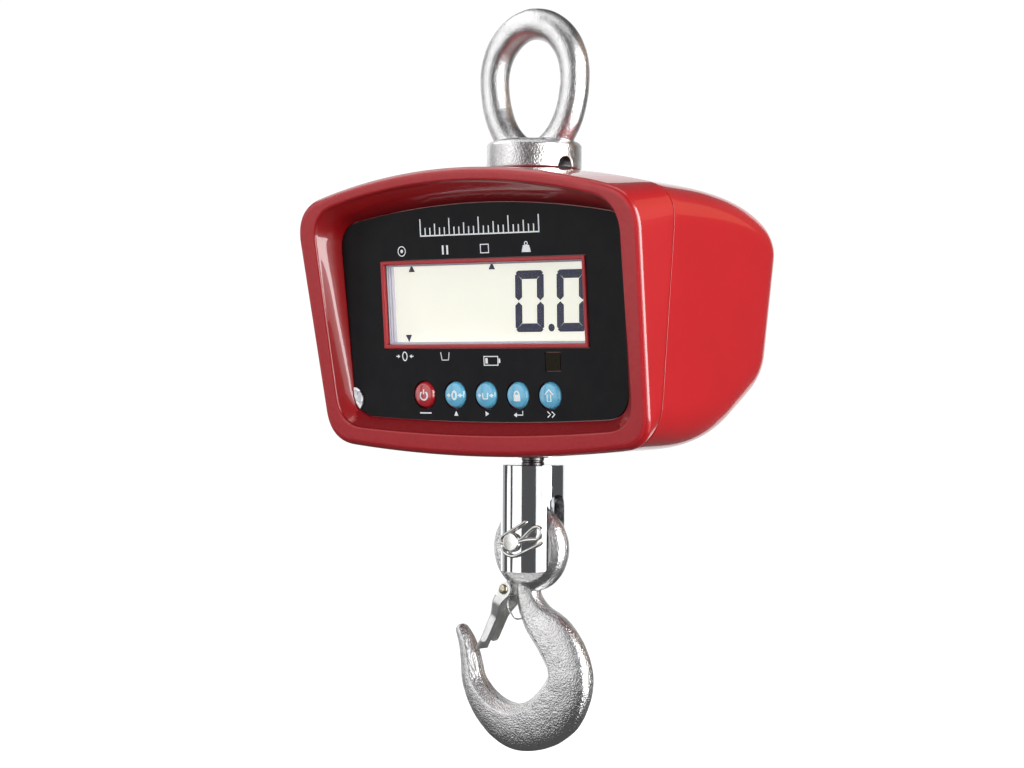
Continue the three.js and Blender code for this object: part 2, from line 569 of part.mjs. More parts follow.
function chargeSocket() {
  const { x, z, radius } = SOCKET;
  const body = join(
    rod(radius, [x, 44, z], [x, REAR_Y - 0.4, z], 24),
    rod(radius + 2, [x, REAR_Y - WALL - 2.6, z], [x, REAR_Y - WALL - GAP, z], 24),
  );
  const barrel = upright(turned([[1, 0], [3, 0], [3, 12], [1, 12], [1, 0]], 16)).rotateX(-Math.PI / 2);
  return cut(body, barrel.translate(x, REAR_Y - 9, z));
}
add('charge_socket', chargeSocket(), BLACK);

// cables that run inside the casing
const cellLead = [[-25.9, 0, -124], [-32, -1, -124], [-37, -8, -126], [-38, -15, -129], [-38, -21.6, -130]];
add('load_cell_cable', tube(cellLead, 2, 12), RUBBER);
const batteryLead = [[30, 28.2, -140], [31, 22, -141], [33, 8, -146], [34, -8, -150], [34, -20.6, -151]];
add('battery_lead', tube(batteryLead, 1.6, 12), RUBBER);

// ---------------------------------------------------------------- clevis, pin and clip
function clevis() {
  const { radius, top, bottom, bore, seat, slot, arch } = CLEVIS;
  const edge = 0.8;
  const body = upright(turned([
    [0, bottom], [radius - edge, bottom], [radius, bottom + edge],
    [radius, top - edge], [radius - edge, top], [0, top],
  ], 32));
  const cheeks = new THREE.Shape();
  const [side, round] = [radius + 1, CLEVIS.corner];
  cheeks.moveTo(-side, top + 1).lineTo(side, top + 1).lineTo(side, bottom + round);
  cheeks.absarc(side - round, bottom + round, round, 0, -Math.PI / 2, true);
  cheeks.lineTo(-side + round, bottom);
  cheeks.absarc(-side + round, bottom + round, round, -Math.PI / 2, -Math.PI, true);
  const rounded = common(body, slab(cheeks, -radius - 2, radius + 2));
  const slotShape = new THREE.Shape();
  slotShape.moveTo(slot, bottom - 2).lineTo(slot, arch - slot);
  slotShape.absarc(0, arch - slot, slot, 0, Math.PI, false);
  slotShape.lineTo(-slot, bottom - 2);
  const through = slab(slotShape, -radius - 2, radius + 2).rotateZ(Math.PI / 2);
  return cut(
    rounded, through,
    rod(bore, [0, 0, bottom - 2], [0, 0, seat], 24),
    rod(STUD_RADIUS + 0.35, [0, 0, seat - 1], [0, 0, top + 1]),
    rod(PIN.radius + GAP, [0, -radius - 2, PIN.z], [0, radius + 2, PIN.z]),
  );
}
add('clevis', clevis(), CHROMED);
add('thrust_washer', washer(STUD_RADIUS + 0.4, 9.6, CLEVIS.seat - 1.8, CLEVIS.seat - GAP), BRONZE);

// wire direction through the pin, in the X-Z plane
const CLIP_WIRE = 0.8;
const CLIP_LEAN = THREE.MathUtils.degToRad(22);
function clevisPin() {
  const { radius, front, back, z, clip } = PIN;
  const body = turned([
    [0, front], [radius - 0.5, front], [radius, front + 0.5], [radius, CLEVIS.radius + 0.5],
    [6.4, CLEVIS.radius + 0.5], [6.4, back - 0.6], [5.8, back], [0, back],
  ], 20).translate(0, 0, z);
  const reach = [10 * Math.cos(CLIP_LEAN), 10 * Math.sin(CLIP_LEAN)];
  return cut(body, rod(CLIP_WIRE + GAP, [-reach[0], clip, z - reach[1]], [reach[0], clip, z + reach[1]], 12));
}
add('clevis_pin', clevisPin(), CHROMED);

// Straight leg through the pin, an eye on the right, then a bow round under the pin.
function hairpinClip() {
  const leg = (distance) => [distance * Math.cos(CLIP_LEAN), distance * Math.sin(CLIP_LEAN)];
  const route = [leg(-4.2), leg(0), leg(6), [11.5, 6.6], [15.4, 8], [18, 5.6], [16, 2.4], [10.6, -1.6],
    [6, -4.6], [1.6, -6], [-3, -5.2], [-5.6, -2], [-5.6, 1.8], [-2.6, 5], [2.6, 7.4], [7.6, 9.8]];
  return tube(route.map(([x, dz]) => [x, PIN.clip, PIN.z + dz]), CLIP_WIRE, 48, 6);
}
add('hairpin_clip', hairpinClip(), ZINC);

// ---------------------------------------------------------------- hook
// A rounded-rectangle ring: width along side, thickness along Y.
function hookRing(centre, side, width, thick) {
  const ring = [];
  for (let i = 0; i < HOOK_SIDES; i++) {
    const angle = (2 * Math.PI * i) / HOOK_SIDES;
    const [c, s] = [Math.cos(angle), Math.sin(angle)];
    const squared = (value) => Math.sign(value) * Math.abs(value) ** 0.7;
    const point = centre.clone().addScaledVector(side, (width / 2) * squared(c));
    ring.push(point.add(vec(0, (thick / 2) * squared(s), 0)));
  }
  return ring;
}

function hookBody() {
  const places = HOOK_STATIONS.map(([x, z]) => vec(x, 0, z));
  const centres = new THREE.CatmullRomCurve3(places, false, 'centripetal');
  const sizes = new THREE.CatmullRomCurve3(HOOK_STATIONS.map(([, , width, thick]) => vec(width, thick, 0)));
  const steps = 32;
  const rings = [];
  for (let j = 0; j <= steps; j++) {
    const t = j / steps;
    const side = centres.getTangent(t).cross(vec(0, 1, 0)).normalize();
    const size = sizes.getPoint(t);
    rings.push(hookRing(centres.getPoint(t), side, size.x, size.y));
  }
  const start = centres.getPoint(0);
  const end = centres.getPoint(1).add(vec(-1.4, 0, 2.2));   // the rounded tip
  return loft([collapsed(rings[0], start), ...rings, collapsed(rings[0], end)]);
}

function hook() {
  const { x, z, inner, outer, half } = HOOK_EYE;
  const [soft, edge] = [2.2, 1.6];
  const eye = turned([
    [inner, -half + edge], [inner + edge, -half], [outer - soft, -half], [outer, -half + soft],
    [outer, half - soft], [outer - soft, half], [inner + edge, half], [inner, half - edge],
    [inner, -half + edge],
  ], 28).translate(x, 0, z);
  const { x: pivotX, z: pivotZ } = LATCH_PIVOT;
  const across = LATCH.lug;
  const lug = rod(LATCH.ear - 0.5, [pivotX, -across, pivotZ], [pivotX, across, pivotZ], 18);
  const neck = block([pivotX, -across, pivotZ - 3.4], [-4, across, pivotZ + 3.4]);
  const hole = rod(LATCH.pin + GAP, [pivotX, -20, pivotZ], [pivotX, 20, pivotZ], 14);
  const pinRoom = rod(inner, [x, -9, z], [x, 9, z], 28);
  return cut(join(hookBody(), eye, lug, neck), pinRoom, hole);
}
add('hook', hook(), FORGED);

// ---------------------------------------------------------------- safety latch
// Built hanging straight down from a pivot at the origin, then leaned and put in place.
function placeLatch(geometry) {
  return geometry.rotateY(LATCH_LEAN).translate(LATCH_PIVOT.x, 0, LATCH_PIVOT.z);
}

function safetyLatch() {
  const { length, web, sheet, ear, earIn, tailOut, pin } = LATCH;
  const out = earIn + sheet;
  const tail = -length + 6;
  const profile = new THREE.Shape();   // side view, x outwards is negative
  profile.moveTo(-web, -length).lineTo(-web, 0);
  profile.absarc(0, 0, ear, Math.PI, -0.5, true);
  profile.lineTo(0.6, -12).lineTo(0.2, tail);
  profile.lineTo(-web + sheet, tail - 2).lineTo(-web + sheet, -length);
  const full = slab(profile, -out, out);
  // narrow the lower part to the tail width with two wedges, seen from the front
  const wedge = (side) => {
    const shape = new THREE.Shape();
    shape.moveTo(side * 12, -8).lineTo(side * out, -8).lineTo(side * tailOut, -15);
    shape.lineTo(side * tailOut, -45).lineTo(side * 12, -45);
    return slab(shape, -10, 10).rotateZ(Math.PI / 2);
  };
  const room = new THREE.Shape();
  const tailIn = tailOut - sheet;
  room.moveTo(-earIn, 8).lineTo(earIn, 8).lineTo(earIn, -8).lineTo(tailIn, -15).lineTo(tailIn, -45);
  room.lineTo(-tailIn, -45).lineTo(-tailIn, -15).lineTo(-earIn, -8);
  const inside = slab(room, -20, web - sheet).rotateZ(Math.PI / 2);
  const lugRoom = block([-web - 1, -earIn, -5], [0, earIn, 8]);   // the web starts below the hook's lug
  const hole = rod(pin + GAP, [0, -12, 0], [0, 12, 0], 14);
  return cut(full, wedge(-1), wedge(1), inside, lugRoom, hole);
}
add('safety_latch', placeLatch(safetyLatch()), ZINC);

function latchPin() {
  const { pin, earIn, sheet } = LATCH;
  const [grip, head] = [earIn + sheet + GAP, 2.4];
  const end = grip + 0.9;
  return turned([
    [0, -end], [head - 0.7, -end], [head, -grip - 0.2], [head, -grip], [pin, -grip], [pin, grip],
    [head, grip], [head, grip + 0.2], [head - 0.7, end], [0, end],
  ], 16).translate(LATCH_PIVOT.x, 0, LATCH_PIVOT.z);
}
add('latch_pin', latchPin(), BRONZE);

// A double torsion spring: a coil on each side of the lug, a loop that bears on the hook's neck, and
// two free legs that push the latch shut. Points are measured from the latch pivot.
function latchSpring() {
  const { wire, coil, y } = LATCH_SPRING;
  const legEnd = vec(-2.1, 0, -8).applyAxisAngle(vec(0, 1, 0), LATCH_LEAN);
  const half = [[legEnd.x, legEnd.z]];
  for (let i = 0; i <= 6; i++) {
    const angle = Math.PI - LATCH_LEAN - (i * Math.PI) / 6;   // over the top, from the web to the neck
    half.push([coil * Math.cos(angle), coil * Math.sin(angle)]);
  }
  half.push([2, -3.2], [1.1, -6], [1.5, -9], [4.6, -12.8]);
  const side = (sign) => half.map(([x, z]) => [LATCH_PIVOT.x + x, sign * y, LATCH_PIVOT.z + z]);
  const loop = [-3.4, 0, 3.4].map((across) => [LATCH_PIVOT.x + 5.2, across, LATCH_PIVOT.z - 13.8]);
  return tube([...side(-1), ...loop, ...side(1).reverse()], wire, 56, 6);
}
add('latch_spring', latchSpring(), ZINC);

// ---------------------------------------------------------------- export
export default scale;
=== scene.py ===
"""Looks for the crane scale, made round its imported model.

Lengths are millimetres until a piece is finished, which turns it into the frame's metres. +Z is
up along the load axis, the display faces -Y, and the origin is the crown of the lifting eye's hole.
"""
from math import atan, cos, pi, radians, sin, sqrt, tan

import bmesh
import bpy
from mathutils import Matrix, Vector, noise

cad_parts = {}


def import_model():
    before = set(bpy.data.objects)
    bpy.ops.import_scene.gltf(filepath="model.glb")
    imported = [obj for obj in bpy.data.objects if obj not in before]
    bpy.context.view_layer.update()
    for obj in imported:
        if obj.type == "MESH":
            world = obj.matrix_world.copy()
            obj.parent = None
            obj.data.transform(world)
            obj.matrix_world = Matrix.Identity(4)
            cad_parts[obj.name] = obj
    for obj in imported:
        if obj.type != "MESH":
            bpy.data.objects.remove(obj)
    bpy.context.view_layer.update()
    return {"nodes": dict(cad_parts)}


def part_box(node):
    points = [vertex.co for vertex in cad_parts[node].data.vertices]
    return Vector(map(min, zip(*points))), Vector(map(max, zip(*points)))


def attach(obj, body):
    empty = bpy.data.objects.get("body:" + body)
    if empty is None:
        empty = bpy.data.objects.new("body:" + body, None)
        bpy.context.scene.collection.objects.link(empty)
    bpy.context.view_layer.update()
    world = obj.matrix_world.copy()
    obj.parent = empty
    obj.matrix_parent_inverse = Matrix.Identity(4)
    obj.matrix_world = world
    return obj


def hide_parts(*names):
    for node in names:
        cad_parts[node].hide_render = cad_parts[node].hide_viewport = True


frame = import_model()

MM = 0.001
SCENE = bpy.context.scene


def place(node):
    """A CAD node's lowest and highest corner, in millimetres."""
    low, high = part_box(node)
    return low / MM, high / MM


# ---- driving sizes, as in the CAD model
GAP = 0.3
WALL = 2.6

EYE_HALF_WIDTH = 23.4
EYE_WIDEST_Z = -18
EYE_BAR = 6.9
EYE_CROWN_EXTRA = 0.4
EYE_FOOT_Z = -53
COLLAR_RADIUS = 22.1
COLLAR_TOP = -49.4
COLLAR_BOTTOM = -59.5
SHANK_RADIUS = 8
NOTCH_RADIUS = 4.8

# casing outlines: top and bottom at the middle, where the side line meets the arch and the belly,
# and how much of each corner is rounded
LIP = dict(top=-63, bottom=-193.1, shoulder=(98.8, -78.2), hip=(92.6, -187.2), rounds=(16, 14))
LIP_INNER = dict(
    top=-69.3, bottom=-182.9, shoulder=(87.8, -81.5), hip=(84.2, -179), rounds=(14, 13))
PANEL = dict(top=-77.6, bottom=-177.5, shoulder=(83.5, -86), hip=(78.9, -175), rounds=(12, 12))
SEAM = dict(top=-61.5, bottom=-193, shoulder=(100.9, -75), hip=(92.8, -187), rounds=(15, 20))
SEAM_Y = -30.6
REAR_Y = 59.5
# how the rear casing narrows towards its rear face: y, top drop, belly rise, side inset
REAR_STATIONS = [
    (SEAM_Y, 0, 0, 0), (-2, 0.7, 0.5, 0.3), (14, 1.9, 2.6, 0.6), (26, 3.6, 6.6, 0.9),
    (36, 5.9, 12.2, 1.2), (44, 8.6, 17, 1.6), (51, 12, 21.3, 2.2), (56.2, 16, 25, 3.8),
    (58.6, 19.5, 28, 6), (REAR_Y, 23, 31, 9),
]
DEEPEST = 9.5                    # the recess wall is this deep at most, and bows out by BOW there
BOW = 2.4
LIP_PLANE = (-71, -0.1733)       # y at z = 0, and its change for each millimetre of z
PANEL_PLANE = (-48.7, -0.0827)
PANEL_REF_Z = -127

SEAT = 0.9                       # depths are measured inwards from the panel's face
SEAT_BACK = 3.3
LCD_HALF = (59, 20.35)           # half the display rim's width and height
LCD_RIM = 1.8
LCD_Z = 3.6
LCD_DEPTH = 6.5
KEY_PITCH = 18.1
KEY_Z = -38.2
KEY_RADIUS = 6.3
KEY_ROOM = 0.35
KEY_NAMES = ["power", "zero", "tare", "hold", "second"]
IR = dict(x=38.6, z=-23, half=4.1)
SEAL = dict(x=-79.4, z=-40.6, radius=5.8)
WELLS = [(-72, -103), (72, -103), (-72, -150), (72, -150)]
BAY = dict(x=56, z=27, middle=-123)
SOCKET = dict(x=72, z=-126.5, radius=5.8)

CLEVIS = dict(
    radius=14.8, top=-197.2, bottom=-246.6, bore=10.2, seat=-204.5, slot=7, arch=-211, corner=6)
STUD_RADIUS = 5.25
PIN = dict(z=-232.8, radius=4, front=-18.2, back=18.4, clip=-16.4)
HOOK_EYE = dict(x=-0.7, z=-236.0, inner=7.3, outer=20.3, half=5.9)
# hook body from the neck round the bowl to the tip: x, z, width in the hook's plane, thickness in Y
HOOK_STATIONS = [
    (-0.9, -249.5, 14.4, 10.6), (-2.2, -257.5, 11.4, 11), (3.2, -267.9, 15.6, 12.4),
    (13.9, -277.4, 21, 13.8), (21.2, -288.4, 21.8, 14.6), (21.8, -299.2, 23.6, 15),
    (15.4, -310.2, 25.2, 15.2), (4.1, -317.7, 23.6, 15), (-9.8, -319.6, 21.2, 14.6),
    (-23.6, -313.4, 16.6, 13.4), (-33.3, -301.6, 12, 12), (-36.3, -288.9, 9.4, 10.6),
    (-38.8, -281.2, 7.6, 9.2), (-42, -275.6, 5.4, 7.4),
]
LATCH_PIVOT = Vector((-11.4, 0, -255.4))
LATCH_LEAN = radians(26.6)
LATCH = dict(length=34.2, web=4.1, sheet=1.2, ear=4, ear_in=6.1, tail_out=4.6, pin=1.6, lug=4.6)
SPRING = dict(wire=0.4, coil=2.6, y=5.35)

VOXEL = 0.42                     # the forgings are melted into one skin at this grain
ROUND_ALL_OVER = 60              # pieces whose sharp angle is at least this keep plain normals
CAMERA = dict(
    azimuth=37.8, elevation=0.05, roll=0.23, distance=1210.2, aim=(0, -16.1, -159.9), lens=92.5)
FLOOR_Z = -620
LIGHT_DISTANCE = 1500


# ---- materials
class Look:
    """A Principled material that is built up by a few calls."""

    def __init__(self, name, color, roughness, metallic=0.0, **sockets):
        self.material = bpy.data.materials.new(name)
        self.material.use_nodes = True
        self.tree = self.material.node_tree
        self.shader = self.tree.nodes["Principled BSDF"]
        self.color = (*color, 1)
        self.set("Base Color", self.color)
        self.set("Roughness", roughness)
        self.set("Metallic", metallic)
        for key, value in sockets.items():
            self.set(key.replace("_", " ").title().replace("Ior", "IOR"), value)
        self.coordinates = self.node("ShaderNodeTexCoord").outputs["Object"]
        self.height = None

    def set(self, socket, value):
        self.shader.inputs[socket].default_value = value

    def node(self, kind, **inputs):
        made = self.tree.nodes.new(kind)
        for key, value in inputs.items():
            made.inputs[key].default_value = value
        return made

    def link(self, source, target):
        self.tree.links.new(source, target)

    def noise(self, size, detail=3.0, stretch=(1, 1, 1)):
        """A noise field whose features are about `size` millimetres."""
        mapping = self.node("ShaderNodeMapping", Scale=stretch)
        self.link(self.coordinates, mapping.inputs["Vector"])
        field = self.node("ShaderNodeTexNoise", Scale=1 / (size * MM), Detail=detail)
        self.link(mapping.outputs["Vector"], field.inputs["Vector"])
        return field.outputs["Fac"]

    def remap(self, source, low, high):
        """Spreads the middle of a noise field over a range."""
        field = self.node("ShaderNodeMapRange")
        limits = {"From Min": 0.3, "From Max": 0.7, "To Min": low, "To Max": high}
        for socket, value in limits.items():
            field.inputs[socket].default_value = value
        self.link(source, field.inputs["Value"])
        return field.outputs["Result"]

    def vary_color(self, source, other, amount=1.0):
        """Blends from the base colour to another where the field is high."""
        mix = self.node("ShaderNodeMix")
        mix.data_type = "RGBA"
        mix.inputs[6].default_value = self.color
        mix.inputs[7].default_value = (*other, 1)
        self.link(self.remap(source, 0, amount), mix.inputs["Factor"])
        self.link(mix.outputs[2], self.shader.inputs["Base Color"])
        return self

    def vary_roughness(self, source, low, high):
        self.link(self.remap(source, low, high), self.shader.inputs["Roughness"])
        return self

    def bump(self, source, depth, strength=1.0, coat=False):
        """Adds relief. `depth` is in millimetres."""
        made = self.node("ShaderNodeBump", Strength=strength, Distance=depth * MM)
        self.link(source, made.inputs["Height"])
        if self.height:
            self.link(self.height, made.inputs["Normal"])
        self.height = made.outputs["Normal"]
        self.link(self.height, self.shader.inputs["Normal"])
        if coat:
            self.link(self.height, self.shader.inputs["Coat Normal"])
        return self


def red_paint():
    look = Look("red_paint", (0.42, 0.006, 0.009), 0.35, coat_weight=1.0, coat_roughness=0.03)
    look.vary_color(look.noise(30), (0.39, 0.005, 0.008))
    return look.bump(look.noise(3.5, 1), 0.012, 0.35, coat=True)


# A satin copy of the red paint for front faces: its duller finish is the paint's own, its lighter
# base is painted light for faces that get little light.
def red_satin_painted_light():
    look = Look(
        "red_satin_painted_light", (0.54, 0.011, 0.020), 0.42, coat_weight=0.18, coat_roughness=0.22)
    look.vary_color(look.noise(2.2, 5), (0.58, 0.026, 0.036), 0.5)
    look.vary_roughness(look.noise(6), 0.36, 0.5)
    return look.bump(look.noise(0.6), 0.02, 0.5)


# Painted shade: a darker, duller copy of the red paint for the low wall of the display recess.
def red_painted_shade():
    look = Look("red_painted_shade", (0.24, 0.005, 0.008), 0.6, specular_ior_level=0.12)
    look.vary_color(look.noise(2.2, 5), (0.30, 0.012, 0.018), 0.5)
    return look.bump(look.noise(0.6), 0.02, 0.5)


def overlay_film():
    look = Look("overlay_film", (0.009, 0.0095, 0.012), 0.42, specular_ior_level=0.12)
    look.vary_color(look.noise(9, 4), (0.013, 0.013, 0.015))
    look.vary_roughness(look.noise(14), 0.38, 0.48)
    return look.bump(look.noise(0.25), 0.006, 0.5)


def forged(name, grain, depth, rough):
    look = Look(name, (0.74, 0.735, 0.74), 0.3, 1.0)
    look.vary_color(look.noise(12, 4), (0.62, 0.605, 0.60), 0.7)
    look.vary_roughness(look.noise(4, 4), *rough)
    look.bump(look.noise(4.5, 2), 0.10, 0.5)
    return look.bump(look.noise(grain, 3), depth, 0.85)


def chrome():
    look = Look("polished_chrome", (0.77, 0.775, 0.79), 0.06, 1.0)
    look.vary_roughness(look.noise(5, 4), 0.035, 0.10)
    look.bump(look.noise(9, 1), 0.03, 0.3)
    return look.bump(look.noise(0.35, 2, (1, 1, 0.12)), 0.004, 0.4)


def plain_metal(name, color, roughness, grain=1.2, depth=0.02):
    look = Look(name, color, roughness, 1.0)
    look.vary_color(look.noise(5, 4), tuple(c * 0.8 for c in color), 0.7)
    look.vary_roughness(look.noise(2.5, 3), roughness * 0.8, roughness * 1.3)
    return look.bump(look.noise(grain, 3), depth, 0.6)


def plastic(name, color, roughness, grain=0.5, depth=0.01, **sockets):
    look = Look(name, color, roughness, 0.0, **sockets)
    look.vary_color(look.noise(6, 3), tuple(c * 0.88 for c in color), 0.7)
    look.vary_roughness(look.noise(3), roughness * 0.85, roughness * 1.15)
    return look.bump(look.noise(grain), depth, 0.5)


def display_glass():
    look = plastic("display_glass", (0.80, 0.80, 0.70), 0.3, 0.4, 0.002)
    look.set("Emission Color", (0.95, 0.95, 0.84, 1))
    look.set("Emission Strength", 0.64)
    return look


def clear_pane():
    look = Look("clear_pane", (0.03, 0.03, 0.03), 0.04, alpha=0.05)
    return look.bump(look.noise(8, 1), 0.004, 0.2)


KEY_COAT = dict(coat_weight=1.0, coat_roughness=0.04)
LOOKS = {
    "red": red_paint(),
    "satin": red_satin_painted_light(),
    "painted_shade": red_painted_shade(),
    "film": overlay_film(),
    "forged": forged("forged_zinc", 0.75, 0.34, (0.15, 0.27)),
    "hook": forged("forged_hook", 0.8, 0.5, (0.14, 0.26)),
    "chrome": chrome(),
    "zinc": plain_metal("bright_zinc", (0.72, 0.715, 0.69), 0.22, 0.8, 0.015),
    "latch": plain_metal("latch_zinc", (0.96, 0.96, 0.94), 0.36, 0.8, 0.02),
    "dark_steel": plain_metal("dark_steel", (0.16, 0.15, 0.155), 0.34),
    "alloy": plain_metal("cell_alloy", (0.62, 0.63, 0.65), 0.35),
    "bronze": plain_metal("rivet_bronze", (0.66, 0.60, 0.44), 0.32, 0.5, 0.06),
    "foil": plain_metal("seal_foil", (0.80, 0.81, 0.85), 0.3, 1.5, 0.05),
    "rubber": plastic("rubber", (0.018, 0.018, 0.019), 0.75, 0.4, 0.03),
    "black": plastic("black_plastic", (0.022, 0.023, 0.025), 0.5),
    "white": plastic("white_plastic", (0.78, 0.78, 0.76), 0.45),
    "board": plastic("circuit_board", (0.02, 0.12, 0.05), 0.4),
    "smoked": plastic("smoked_window", (0.016, 0.011, 0.002), 0.3, specular_ior_level=0.1),
    "blue_key": plastic("blue_key", (0.18, 0.66, 0.98), 0.3, 2, 0.004, **KEY_COAT),
    "red_key": plastic("red_key", (0.60, 0.020, 0.030), 0.3, 2, 0.004, **KEY_COAT),
    # White print; its faint glow is painted light.
    "ink_painted_glow": plastic("white_ink_painted_glow", (0.93, 0.95, 0.97), 0.5,
                   emission_color=(0.9, 0.95, 1, 1), emission_strength=0.22),
    "segment": plastic("display_segment", (0.05, 0.055, 0.125), 0.4),
    "lcd": display_glass(),
    "lining": plastic("window_lining", (0.78, 0.76, 0.88), 0.22),
    "pane": clear_pane(),
}


# ---- mesh building, in millimetres
def linked(name, mesh):
    made = bpy.data.objects.new(name, mesh)
    SCENE.collection.objects.link(made)
    return made


def spaced(count, whole=2 * pi):
    """Evenly spaced values from 0 up to `whole`, without it."""
    return [whole * i / count for i in range(count)]


def as_object(points, faces):
    """A temporary solid, with its faces pointing out."""
    mesh = bpy.data.meshes.new("part")
    shape = bmesh.new()
    corners = [shape.verts.new(point) for point in points]
    for face in faces:
        shape.faces.new([corners[i] for i in face])
    bmesh.ops.remove_doubles(shape, verts=shape.verts, dist=1e-4)
    bmesh.ops.recalc_face_normals(shape, faces=shape.faces)
    shape.to_mesh(mesh)
    shape.free()
    return linked("part", mesh)


def lofted(rings, loop=False):
    """A solid through equally long rings, with its ends closed or joined in a loop."""
    around = len(rings[0])
    points = [point for ring in rings for point in ring]
    faces = []
    for j in range(len(rings) if loop else len(rings) - 1):
        near, far = j * around, (j + 1) % len(rings) * around
        for i in range(around):
            k = (i + 1) % around
            faces.append((near + i, near + k, far + k, far + i))
    if not loop:
        faces.append(tuple(range(around)))
        faces.append(tuple(range(len(points) - around, len(points))))
    return as_object(points, faces)


def turned(profile, sides=96, axis="Z", middle=(0, 0, 0)):
    """A lathe-turned solid from (radius, height) points. A closed profile makes a ring."""
    loop = profile[0] == profile[-1]
    steps = profile[:-1] if loop else profile
    rings = []
    for radius, height in steps:
        ring = [(radius * cos(t), radius * sin(t)) for t in spaced(sides)]
        rings.append([Vector((a, b, height) if axis == "Z" else (a, height, b)) + Vector(middle)
                      for a, b in ring])
    return lofted(rings, loop)


def circle_ring(middle, side, other, radius, sides):
    return [middle + radius * (cos(t) * side + sin(t) * other) for t in spaced(sides)]


def rod(radius, start, end, sides=48):
    """A round bar between two points."""
    start, end = Vector(start), Vector(end)
    along = (end - start).normalized()
    side = along.orthogonal().normalized()
    return lofted([circle_ring(middle, side, along.cross(side), radius, sides)
                   for middle in (start, end)])


def block(low, high):
    (x0, y0, z0), (x1, y1, z1) = low, high
    corners = ((x0, y0), (x1, y0), (x1, y1), (x0, y1))
    return lofted([[Vector((x, y, z)) for x, y in corners] for z in (z0, z1)])


def prism(outline_points, near, far):
    """An outline in X-Z given a thickness in Y."""
    return lofted([[Vector((x, y, z)) for x, z in outline_points] for y in (near, far)])


def neighbours(rows, j):
    """The entries before and after an entry, or itself at the ends."""
    return rows[max(j - 1, 0)], rows[min(j + 1, len(rows) - 1)]


def tube(points, radius, per_span=8, sides=14):
    """A round wire along a smooth curve through points."""
    route = smooth_curve(points, per_span)
    rings = []
    side = None
    for j, point in enumerate(route):
        before, after = neighbours(route, j)
        along = (after - before).normalized()
        side = along.orthogonal() if side is None else side - along * side.dot(along)
        side.normalize()
        rings.append(circle_ring(point, side, along.cross(side), radius, sides))
    return lofted(rings)


def smooth_curve(points, per_span):
    """Catmull-Rom points through tuples or vectors of any length."""
    points = [Vector(point) for point in points]
    last = len(points) - 1
    found = []
    for j in range(last):
        p, q, r, s = [points[min(max(j + k, 0), last)] for k in (-1, 0, 1, 2)]
        for step in range(per_span):
            t = step / per_span
            found.append(0.5 * (2 * q + (r - p) * t + (2 * p - 5 * q + 4 * r - s) * t * t
                                + (3 * q - p - 3 * r + s) * t ** 3))
    return found + [points[-1]]


def apply_modifiers(piece):
    graph = bpy.context.evaluated_depsgraph_get()
    mesh = bpy.data.meshes.new_from_object(piece.evaluated_get(graph), depsgraph=graph)
    old = piece.data
    piece.modifiers.clear()
    piece.data = mesh
    bpy.data.meshes.remove(old)
    return piece


def merged(*parts):
    """One object that holds all the parts' meshes, overlapping or not."""
    shape = bmesh.new()
    for part in parts:
        part.data.transform(part.matrix_world)
        shape.from_mesh(part.data)
        bpy.data.objects.remove(part)
    mesh = bpy.data.meshes.new("merged")
    shape.to_mesh(mesh)
    shape.free()
    return linked("merged", mesh)


def boolean(piece, operation, *tools):
    """Cuts, joins or intersects with tools that don't overlap each other."""
    tool = merged(*tools)
    modifier = piece.modifiers.new("boolean", "BOOLEAN")
    modifier.operation = operation
    modifier.object = tool
    modifier.solver = "EXACT"
    modifier.use_self = operation == "INTERSECT"
    apply_modifiers(piece)
    bpy.data.objects.remove(tool)
    return piece


def cut(piece, *tools):
    return boolean(piece, "DIFFERENCE", *tools)


def bevel(piece, width, angle=32):
    modifier = piece.modifiers.new("bevel", "BEVEL")
    modifier.width = width
    modifier.segments = 2
    modifier.limit_method = "ANGLE"
    modifier.angle_limit = radians(angle)
    return apply_modifiers(piece)


def fused(piece, smoothing):
    """Melts overlapping solids into one skin with soft inner corners."""
    modifier = piece.modifiers.new("remesh", "REMESH")
    modifier.mode = "VOXEL"
    modifier.voxel_size = VOXEL
    relax = piece.modifiers.new("smooth", "SMOOTH")
    relax.factor = 0.5
    relax.iterations = smoothing
    return apply_modifiers(piece)


def roughen(piece, size, depth):
    """Moves each point of a solid a little along its normal, as a forging's surface wanders."""
    normals = [vertex.normal.copy() for vertex in piece.data.vertices]
    for vertex, normal in zip(piece.data.vertices, normals):
        vertex.co += normal * depth * noise.noise(vertex.co / size)
    return piece


def from_cad(node):
    """A copy of a CAD node's solid, in millimetres, with its flat faces whole again."""
    mesh = frame["nodes"][node].data.copy()
    mesh.transform(Matrix.Scale(1 / MM, 4))
    shape = bmesh.new()
    shape.from_mesh(mesh)
    bmesh.ops.remove_doubles(shape, verts=shape.verts, dist=1e-3)
    bmesh.ops.dissolve_limit(
        shape, angle_limit=radians(1), verts=shape.verts, edges=shape.edges)
    shape.to_mesh(mesh)
    shape.free()
    mesh.materials.clear()
    return linked(node, mesh)


def wear(mesh, look):
    mesh.materials.clear()
    mesh.materials.append(LOOKS[look].material)


def finish(piece, name, look, body, stands_for=(), sharp=35):
    """Names a solid, turns it into metres, gives it its look and hangs it on its body."""
    piece.name = name
    piece.data.transform(Matrix.Scale(MM, 4))
    piece.data.polygons.foreach_set("use_smooth", [True] * len(piece.data.polygons))
    piece.data.set_sharp_from_angle(angle=radians(sharp))
    if sharp < ROUND_ALL_OVER:
        shading = piece.modifiers.new("shading", "WEIGHTED_NORMAL")
        shading.keep_sharp = True
        shading.weight = 80
        apply_modifiers(piece)
    piece.data.name = name
    wear(piece.data, look)
    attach(piece, body)
    if stands_for:
        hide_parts(*stands_for)


# ---- casing outlines
def bend(a, b, c, steps):
    """Points of a parabola from a to c with its control at b, without the last one."""
    return [(1 - t) ** 2 * a + 2 * t * (1 - t) * b + t * t * c for t in spaced(steps, 1)]


def meeting(point, along, other, other_along):
    """Where two lines in a plane cross."""
    gap = other - point
    turn = along.x * other_along.y - along.y * other_along.x
    return point + along * ((gap.x * other_along.y - gap.y * other_along.x) / turn)


